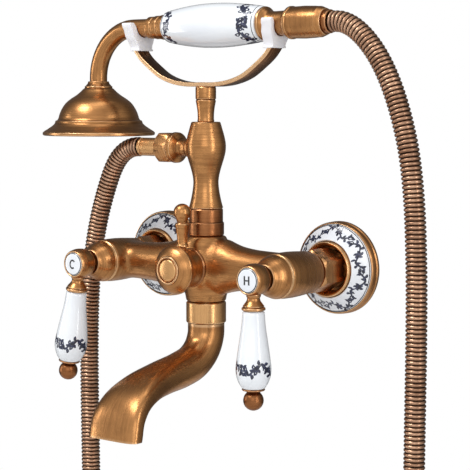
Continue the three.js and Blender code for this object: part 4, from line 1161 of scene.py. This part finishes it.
def add_spout():
    shell, inner = spout_shell(0), spout_shell(1.8)
    # painted light: rims at top and mouth painted bright as highlight and wear, the inside painted darker as
    # shade
    wear_and_light = np.zeros(2 * len(shell))
    wear_and_light[[0, 1, len(shell) - 1, len(shell)]] = 0.7
    wear_and_light[len(shell) + 2:] = -0.6
    grid = {"rings": np.vstack([shell, inner[::-1]]), "loop": True, "wear_and_light": wear_and_light, "lengthwise": True}
    add_grid("spout_tube", grid, HERE, "spout", ANTIQUE, ("spout",), 50.0)
    low, high = span("spout_nut", "z")
    nut = [
        (9.6, low), (12.7, low, 0.4), (13.3, low + 0.7, 0.4), (13.3, high - 1, 0.4), (12.7, high - 0.3, 0.3),
        (11.7, high), (11.7, low + 1.6), (9.6, low + 1.6),
    ]
    turned("spout_collar_nut", nut, UPRIGHT, "root", GILT, ("spout_nut",), 88, lengthwise=True)
    tail = [
        (5.4, low - 1), (9.3, low - 1), (9.3, low + 1.9), (11.1, low + 1.9), (11.1, low + 3.5),
        (7.5, low + 3.5), (7.5, -25.5), (5.4, -25.5),
    ]
    turned("spout_tail", tail, UPRIGHT, "spout", RAW_BRASS, (), 56)


add_spout()


# ---- riser

def add_riser():
    low, high = span("riser_nut", "z")
    step = (low + high) / 2
    ring = [
        (9.3, low), (11.5, low, 0.3), (12.0, low + 0.6, 0.3), (12.0, step - 0.5, 0.3),
        (11.5, step - 0.1, 0.2),
        (11.3, step + 0.3, 0.2), (11.3, high - 0.7, 0.3), (10.9, high, 0.3), (7.8, high), (7.8, high - 3.4),
        (9.3, high - 3.4),
    ]
    turned("riser_ring_nut", ring, UPRIGHT, "root", UMBER, ("riser_nut",), 80)
    foot, top = high + 0.3, span("riser_column", "z")[1]
    body = curve([
        (11.1, foot + 1.2), (9.9, foot + 6), (8.8, foot + 12), (8.35, foot + 17.4), (8.9, foot + 22),
        (10.3, foot + 27.5), (12, foot + 33), (13.1, foot + 38), (13.2, foot + 42.5), (12.3, foot + 47.5),
        (10.8, top - 4.2), (10, top - 1.4),
    ], 4)
    column = [
        (0, foot - 3.4), (7.4, foot - 3.4), (7.4, foot), (11.0, foot, 0.3), (11.4, foot + 0.5, 0.3), *body,
        (9.7, top - 0.5, 0.4), (9.2, top, 0.3), (5.8, top), (5.8, top - 0.5), (0, top - 0.5),
    ]
    turned("riser_pillar", column, UPRIGHT, "root", ANTIQUE, ("riser_column",), 88)
    outlet = [
        (0, 9), (7.6, 9), (7.4, 12.4, 1), (6.1, 14.5, 1.5), (5.7, 19, 1), (5.9, 21.6, 0.6), (9.2, 23.6, 0.5),
        (10.2, 24.3, 0.4), (10.35, 26.9, 0.4), (9.8, 27.5, 0.3), (7.2, 27.5), (7.2, 35), (3.6, 35),
        (3.6, 10), (0, 10),
    ]
    turned("riser_outlet", outlet, OUTLET, "root", ANTIQUE, (), 64)


def add_post():
    """The spindle between the column and the cradle band."""
    low, high = span("riser_column", "z")[1] + GAP, span("cradle_band", "z")[0]
    post = [
        (0, low - 0.6), (5.4, low - 0.6), (5.6, low + 0.5, 0.4),
        *curve([(5.35, low + 1.6), (5.5, low + 6), (6.1, low + 10.5), (6.6, low + 13)]),
        (6.6, low + 13.8, 0.3), (6.2, low + 14.3, 0.25), (6.8, low + 15, 0.4),
        (6.8, high - 0.7, 0.3), (6.3, high, 0.3), (3, high), (3, high + 2.6), (0, high + 2.6),
    ]
    turned("cradle_spindle", post, UPRIGHT, "root", ANTIQUE, ("cradle_post",), 64)


BAND_LINE = [(0, 0), (12, 0), (24, 1.6), (36, 5.6), (47, 12.6), (54.5, 18.5), (59.5, 24.5)]


def strap_section(width, thick, soft):
    """The strap across its line, as side and up, with round corners of a radius."""
    section = []
    for side, up, start in ((1, 1, 0), (-1, 1, 90), (-1, -1, 180), (1, -1, 270)):
        x, y = side * (width / 2 - soft), up * (thick / 2 - soft)
        for angle in np.radians(np.linspace(start, start + 90, 4)):
            section.append((x + soft * math.cos(angle), y + soft * math.sin(angle)))
    section = np.array(section)
    section[:, 1] += thick / 2
    return section


def add_band():
    """The cradle's strap, bent up at both ends."""
    low = span("cradle_band", "z")[0]
    width, soft = 12.0, 0.5
    half = [(x, rise + low) for x, rise in BAND_LINE]
    points = [(-x, z) for x, z in half[:0:-1]] + half
    line = resampled(spline(points, 10), 1.6)
    line = np.stack([line[:, 0], 0 * line[:, 0] - AXIS_DEPTH, line[:, 1]], axis=1)
    section = strap_section(width, 2.8, soft)
    rings = swept_rings(line, section * [1, -1], (0, 1, 0))
    mesh = mesh_of("cradle_strap", [{"rings": rings, "lengthwise": True}])
    # painted light: the strap's edges painted bright as highlight and wear, its flat faces painted darker as
    # shade
    edge = (np.abs(section[:, 0]) > width / 2 - soft * 0.9).astype(float)
    wear_and_light = np.tile(1.5 * edge - 0.55, len(rings)).astype(np.float32)
    mesh.attributes["wear_and_light"].data.foreach_set("value", wear_and_light)
    add("cradle_strap", cleaned(mesh, 60.0), HERE, "root", ANTIQUE, ("cradle_band",))


def fork_outline(seat, foot, jaw, spread, bottom, top):
    """The fork seen from its end, as across and up: foot, flared jaws and the rounded seat."""
    outside = [
        (foot / 2, bottom), (foot / 2, bottom + 0.9), (foot / 2 - 0.7, bottom + 1.5),
        (foot / 2 - 0.3, bottom + 3.4),
        (jaw / 2 - 2.4, bottom + 6.6), (jaw / 2 - 0.6, bottom + 9.8), (jaw / 2, -1.6),
        (jaw / 2 + spread * 0.35, top - 3.2), (jaw / 2 + spread / 2, top - 0.9),
        (jaw / 2 + spread / 2 - 0.7, top),
    ]
    lip = [(seat + 2.1, top), (seat + 1.3, top - 0.9), (seat + 0.35, 1)]
    arc = [(seat * math.cos(a), seat * math.sin(a)) for a in np.linspace(0, -math.pi / 2, 9)]
    half = outside + lip + arc
    return half, [(-x, z) for x, z in half[-2::-1]]


def add_fork(name, node, sign, carried):
    """A clip that leans out, with a seat for the grip radius that it carries."""
    x, thick, lean = sign * BAND_LINE[-1][0], 8.0, sign * 3.0 / 18.4
    bottom, top = (value - HANDSET_Z for value in span(node, "z"))
    right, left = fork_outline(carried + 0.4, 14.6, 22.4, 3, bottom, top)
    points = [
        Vector((x + offset + lean * up, across - AXIS_DEPTH, up + HANDSET_Z)) * MM
        for offset in (-thick / 2, thick / 2) for across, up in right + left
    ]
    count = len(points) // 2
    after = [(i + 1) % count for i in range(count)]
    faces = [(i, after[i], after[i] + count, i + count) for i in range(count)]
    mesh = bpy.data.meshes.new(name)
    mesh.from_pydata(points, [], faces + [range(count), range(count, 2 * count)])
    piece = add(name, facing_out(mesh), HERE, "root", CLIP, (node,))
    mesh.shade_smooth()
    bevel = piece.modifiers.new("bevel", "BEVEL")
    bevel.width, bevel.segments, bevel.limit_method = 0.7 * MM, 3, "ANGLE"
    bevel.angle_limit = math.radians(35)


add_riser()
add_post()
add_band()
add_fork("left_clip", "fork_left", -1, 6.05)
add_fork("right_clip", "fork_right", 1, 7.8)


# ---- hand shower

def add_neck():
    """The bent tube from the grip to the bell."""
    bell_x = middle("shower_bell", "x")
    bend, drop = 34.0, HANDSET_Z - span("neck_tube", "z")[0]
    angles = np.linspace(0, math.pi / 2, 22)
    corner = [(bell_x + bend - bend * math.sin(a), HANDSET_Z - bend + bend * math.cos(a)) for a in angles]
    line = [(span("neck_tube", "x")[1], HANDSET_Z), *corner, (bell_x, HANDSET_Z - drop)]
    line = resampled(np.array([(x, -AXIS_DEPTH, z) for x, z in line]), 1.8)
    grid = {"rings": swept_rings(line, circle(6.05, 40), (0, 1, 0)), "lengthwise": True}
    add_grid("neck_pipe", grid, HERE, "handset", ANTIQUE, ("neck_tube",), 60.0)


def add_ferrule(place):
    start, end = span("neck_ferrule", "x")
    third = (end - start) / 3
    corners = [(6.3, start)]
    for i in range(3):
        radius, low = 7.4 + 0.45 * i, start + third * i
        high = low + third
        corners += [(radius - 0.6, low + 0.15, 0.2), (radius, low + 0.7, 0.35), (radius, high - 0.9, 0.35)]
        corners += [(radius - 0.55, high - 0.2, 0.2)]
    corners += [(6.3, end)]
    turned("neck_rings", corners, place, "handset", ANTIQUE, ("neck_ferrule",), 72)


def add_grip(place):
    start, end = span("handset_grip", "x")
    side_line = curve([
        (10.5, start + 1.2), (11.5, start + 6.5), (12.9, start + 15.5), (14.1, start + 27.5),
        (14.5, start + 38),
        (14.4, start + 48), (13.9, start + 57), (13, start + 66), (12.1, end - 6.5), (11.4, end - 1.2),
    ], 5)
    corners = [(6.4, start), (9.7, start, 0.4), *side_line, (10.6, end, 0.4), (6.4, end)]
    turned("porcelain_handset", corners, place, "handset", PORCELAIN, ("handset_grip",), 96)
    radii, heights = np.array(side_line)[:, :2].T
    for name, centre, half in (
        ("left_vine", start + 6.6, 4.6), ("right_vine", end - 8.6, 6.2),
        ("left_line", start + 1.7, None), ("right_line", end - 1.7, None),
    ):
        radius = float(np.interp(centre, heights, radii))
        strokes, paint = (vine(radius, half, 4), NAVY) if half else (hoop(radius, 72, 0.5), INK)
        wrap = onto_turned(side_line, radius, centre)
        painted(f"handset_{name}", strokes, wrap, place, "handset", paint)


def add_tail(place):
    start = span("handset_tail", "x")[0]
    end = span("hose_nut_handset", "x")[0] - 0.3
    flare, waist = 11.0, 7.8
    pipe_end = span("neck_tube", "x")[1] + 0.3
    corners = [
        (6.4, start), (flare - 0.8, start, 0.3), (flare, start + 0.8, 0.4), (flare - 0.2, start + 2, 0.5),
        *curve([
            (flare - 1.2, start + 2.8), (waist + 0.6, start + 4.6), (waist, start + 6.2), (waist, end - 4),
            (waist + 0.2, end - 1.6),
        ]),
        (waist + 0.8, end - 0.6, 0.3), (waist + 0.8, end, 0.2), (7.2, end),
        (7.2, end + 11), (4.5, end + 11), (4.5, pipe_end), (6.4, pipe_end),
    ]
    turned("handset_socket", corners, place, "handset", ANTIQUE, ("handset_tail",), 80)


def add_bell():
    """The bell of the hand shower and its spray plate; heights count up from the rim."""
    low, high = span("shower_bell", "z")
    tall = high - low
    brim = curve([(38.1, 3.0), (35.4, 4.7), (32.6, 6.6), (30.7, 8.4)], 5)
    dome = curve([(28.2, 11.8), (27.1, 15.4), (25.4, 19), (22.8, 22.6), (19.6, 25.3), (16.1, 27.6), (13, 30),
                  (10.8, 32.2)], 4)
    inside = curve([(8.4, tall - 8), (17, 24.6), (22.8, 18.3), (25.2, 13), (27.5, 8), (29.6, 6.2)], 4)
    corners = [
        (30.3, 3.1), (36.8, 0.6, 0.4), (38.2, 0, 0.5), (39.2, 0.7, 0.6), (39.1, 2.2, 0.6), *brim,
        (30.5, 9.1, 0.3), (30.1, 10.3, 0.4), (28.9, 10.7, 0.25), (28.6, 11.2, 0.2), *dome, (9.6, 33, 0.3),
        (9.7, 34, 0.4), (8.9, 34.6, 0.3),
        (7.6, tall - 1.5, 0.5), (7.2, tall, 0.4), (6.35, tall), (6.35, tall - 6), *inside, (30.1, 5.9),
    ]
    place = at(middle("shower_bell", "x"), -AXIS_DEPTH, low)
    turned("bell_shell", corners, place, "handset", ANTIQUE, ("shower_bell",), 112)
    spray_plate(place)


def spray_plate(place):
    """The plate under the bell, with its rubber nozzles in three rings."""
    plate = [(0, 4.3), (8, 4.3, 1), (9, 3.9, 1), (28.6, 3.9, 0.4), (30, 3.9, 0.3), (30, 5.6), (0, 5.6)]
    turned("spray_disc", plate, place, "handset", STEEL, ("spray_plate",), 96)
    nozzle = outline([(0, 2.5), (0.75, 2.5, 0.15), (1.05, 4.2, 0.15), (0, 4.2)])
    grids = []
    for circle_radius, count in ((6, 6), (13.5, 14), (20.5, 22), (26.5, 30)):
        for i in range(count):
            angle = 2 * math.pi * i / count
            spot = np.array([circle_radius * math.cos(angle), circle_radius * math.sin(angle), 0])
            grids.append({"rings": turned_rings(nozzle, 10) + spot})
    add("spray_nozzles", cleaned(mesh_of("spray_nozzles", grids)), place, "handset", RUBBER)


def add_handset():
    add_neck()
    add_ferrule(HANDSET)
    add_grip(HANDSET)
    add_tail(HANDSET)
    add_bell()


add_handset()


# ---- CAD nodes that stay

KEPT = {
    RAW_BRASS: ["hot_cartridge", "cold_cartridge", "hot_stem", "cold_stem", "diverter_stem"],
    RUBBER: ["hot_union_washer", "cold_union_washer", "spout_o_ring"],
    STEEL: ["hot_handle_screw", "cold_handle_screw", "post_grub_screw"],
    CLIP: ["diverter_cartridge"],
}


def finish_kept_nodes():
    for material, names in KEPT.items():
        for name in names:
            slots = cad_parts[name].data.materials
            slots.clear()
            slots.append(material)


finish_kept_nodes()


# ---- studio

FLOOR_GAP = 0.004


def pale_floor():
    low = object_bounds()[0].z - FLOOR_GAP
    work = bmesh.new()
    bmesh.ops.create_grid(work, x_segments=8, y_segments=8, size=0.85)
    mesh = bpy.data.meshes.new("floor")
    work.to_mesh(mesh)
    work.free()
    floor = bpy.data.objects.new("floor", mesh)
    floor.location = (0.05, -0.15, low)
    bpy.context.scene.collection.objects.link(floor)
    material, tree, surface = shader("pale_floor", {"Roughness": 0.7})
    mottle = noise(tree, place_in_object(tree), 3.0)
    drive(surface, "Base Color", blended(tree, mottle, (0.82, 0.82, 0.82), (0.86, 0.86, 0.86)))
    mesh.materials.append(material)
    floor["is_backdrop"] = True


def soft_box(name, place, target, width, height, radiance):
    """A square lamp that looks at a target; radiance is what a mirror would show."""
    data = bpy.data.lights.new(name, "AREA")
    data.shape, data.size, data.size_y = "RECTANGLE", width, height
    data.energy = radiance * math.pi * width * height
    lamp = bpy.data.objects.new(name, data)
    lamp.location = place
    lamp.rotation_mode = "QUATERNION"
    lamp.rotation_quaternion = (Vector(target) - Vector(place)).to_track_quat("-Z", "Y")
    bpy.context.scene.collection.objects.link(lamp)


def studio_world():
    """White to the eye; for light and reflections bright in front of the wall and dim behind."""
    world = bpy.data.worlds.new("studio")
    world.use_nodes = True
    tree = world.node_tree
    background = tree.nodes["Background"]
    direction = tree.nodes.new("ShaderNodeTexCoord").outputs["Generated"]
    facing = tree.nodes.new("ShaderNodeVectorMath")
    facing.operation = "DOT_PRODUCT"
    facing.inputs[1].default_value = (0.55, -0.83, 0.1)
    tree.links.new(direction, facing.inputs[0])
    level = ramp(tree, facing.outputs["Value"], -0.45, 0.6, 0.13, 0.85)
    seen = tree.nodes.new("ShaderNodeLightPath").outputs["Is Camera Ray"]
    choice = tree.nodes.new("ShaderNodeMix")
    tree.links.new(seen, choice.inputs[MIX_SHARE])
    tree.links.new(level, choice.inputs[MIX_A])
    choice.inputs[MIX_B].default_value = 1.0
    tree.links.new(choice.outputs[0], background.inputs["Strength"])
    background.inputs["Color"].default_value = (1, 1, 1, 1)
    bpy.context.scene.world = world


def studio_lamps():
    aim = (0, -0.05, 0.03)
    soft_box("key_lamp", (-0.4, -0.85, 1.2), aim, 0.6, 0.4, 13.0)
    soft_box("right_strip", (1.35, -0.25, 0.25), aim, 0.22, 1.1, 5.0)
    soft_box("left_strip", (-1.2, -0.75, 0.1), aim, 0.25, 1.0, 4.0)
    soft_box("top_lamp", (0.1, -0.1, 1.25), aim, 0.9, 0.5, 1.5)
    soft_box("front_fill", (0.9, -1.5, 0.5), aim, 0.9, 0.7, 1.6)


pale_floor()
studio_world()
studio_lamps()
bpy.context.scene.view_settings.view_transform = "Standard"
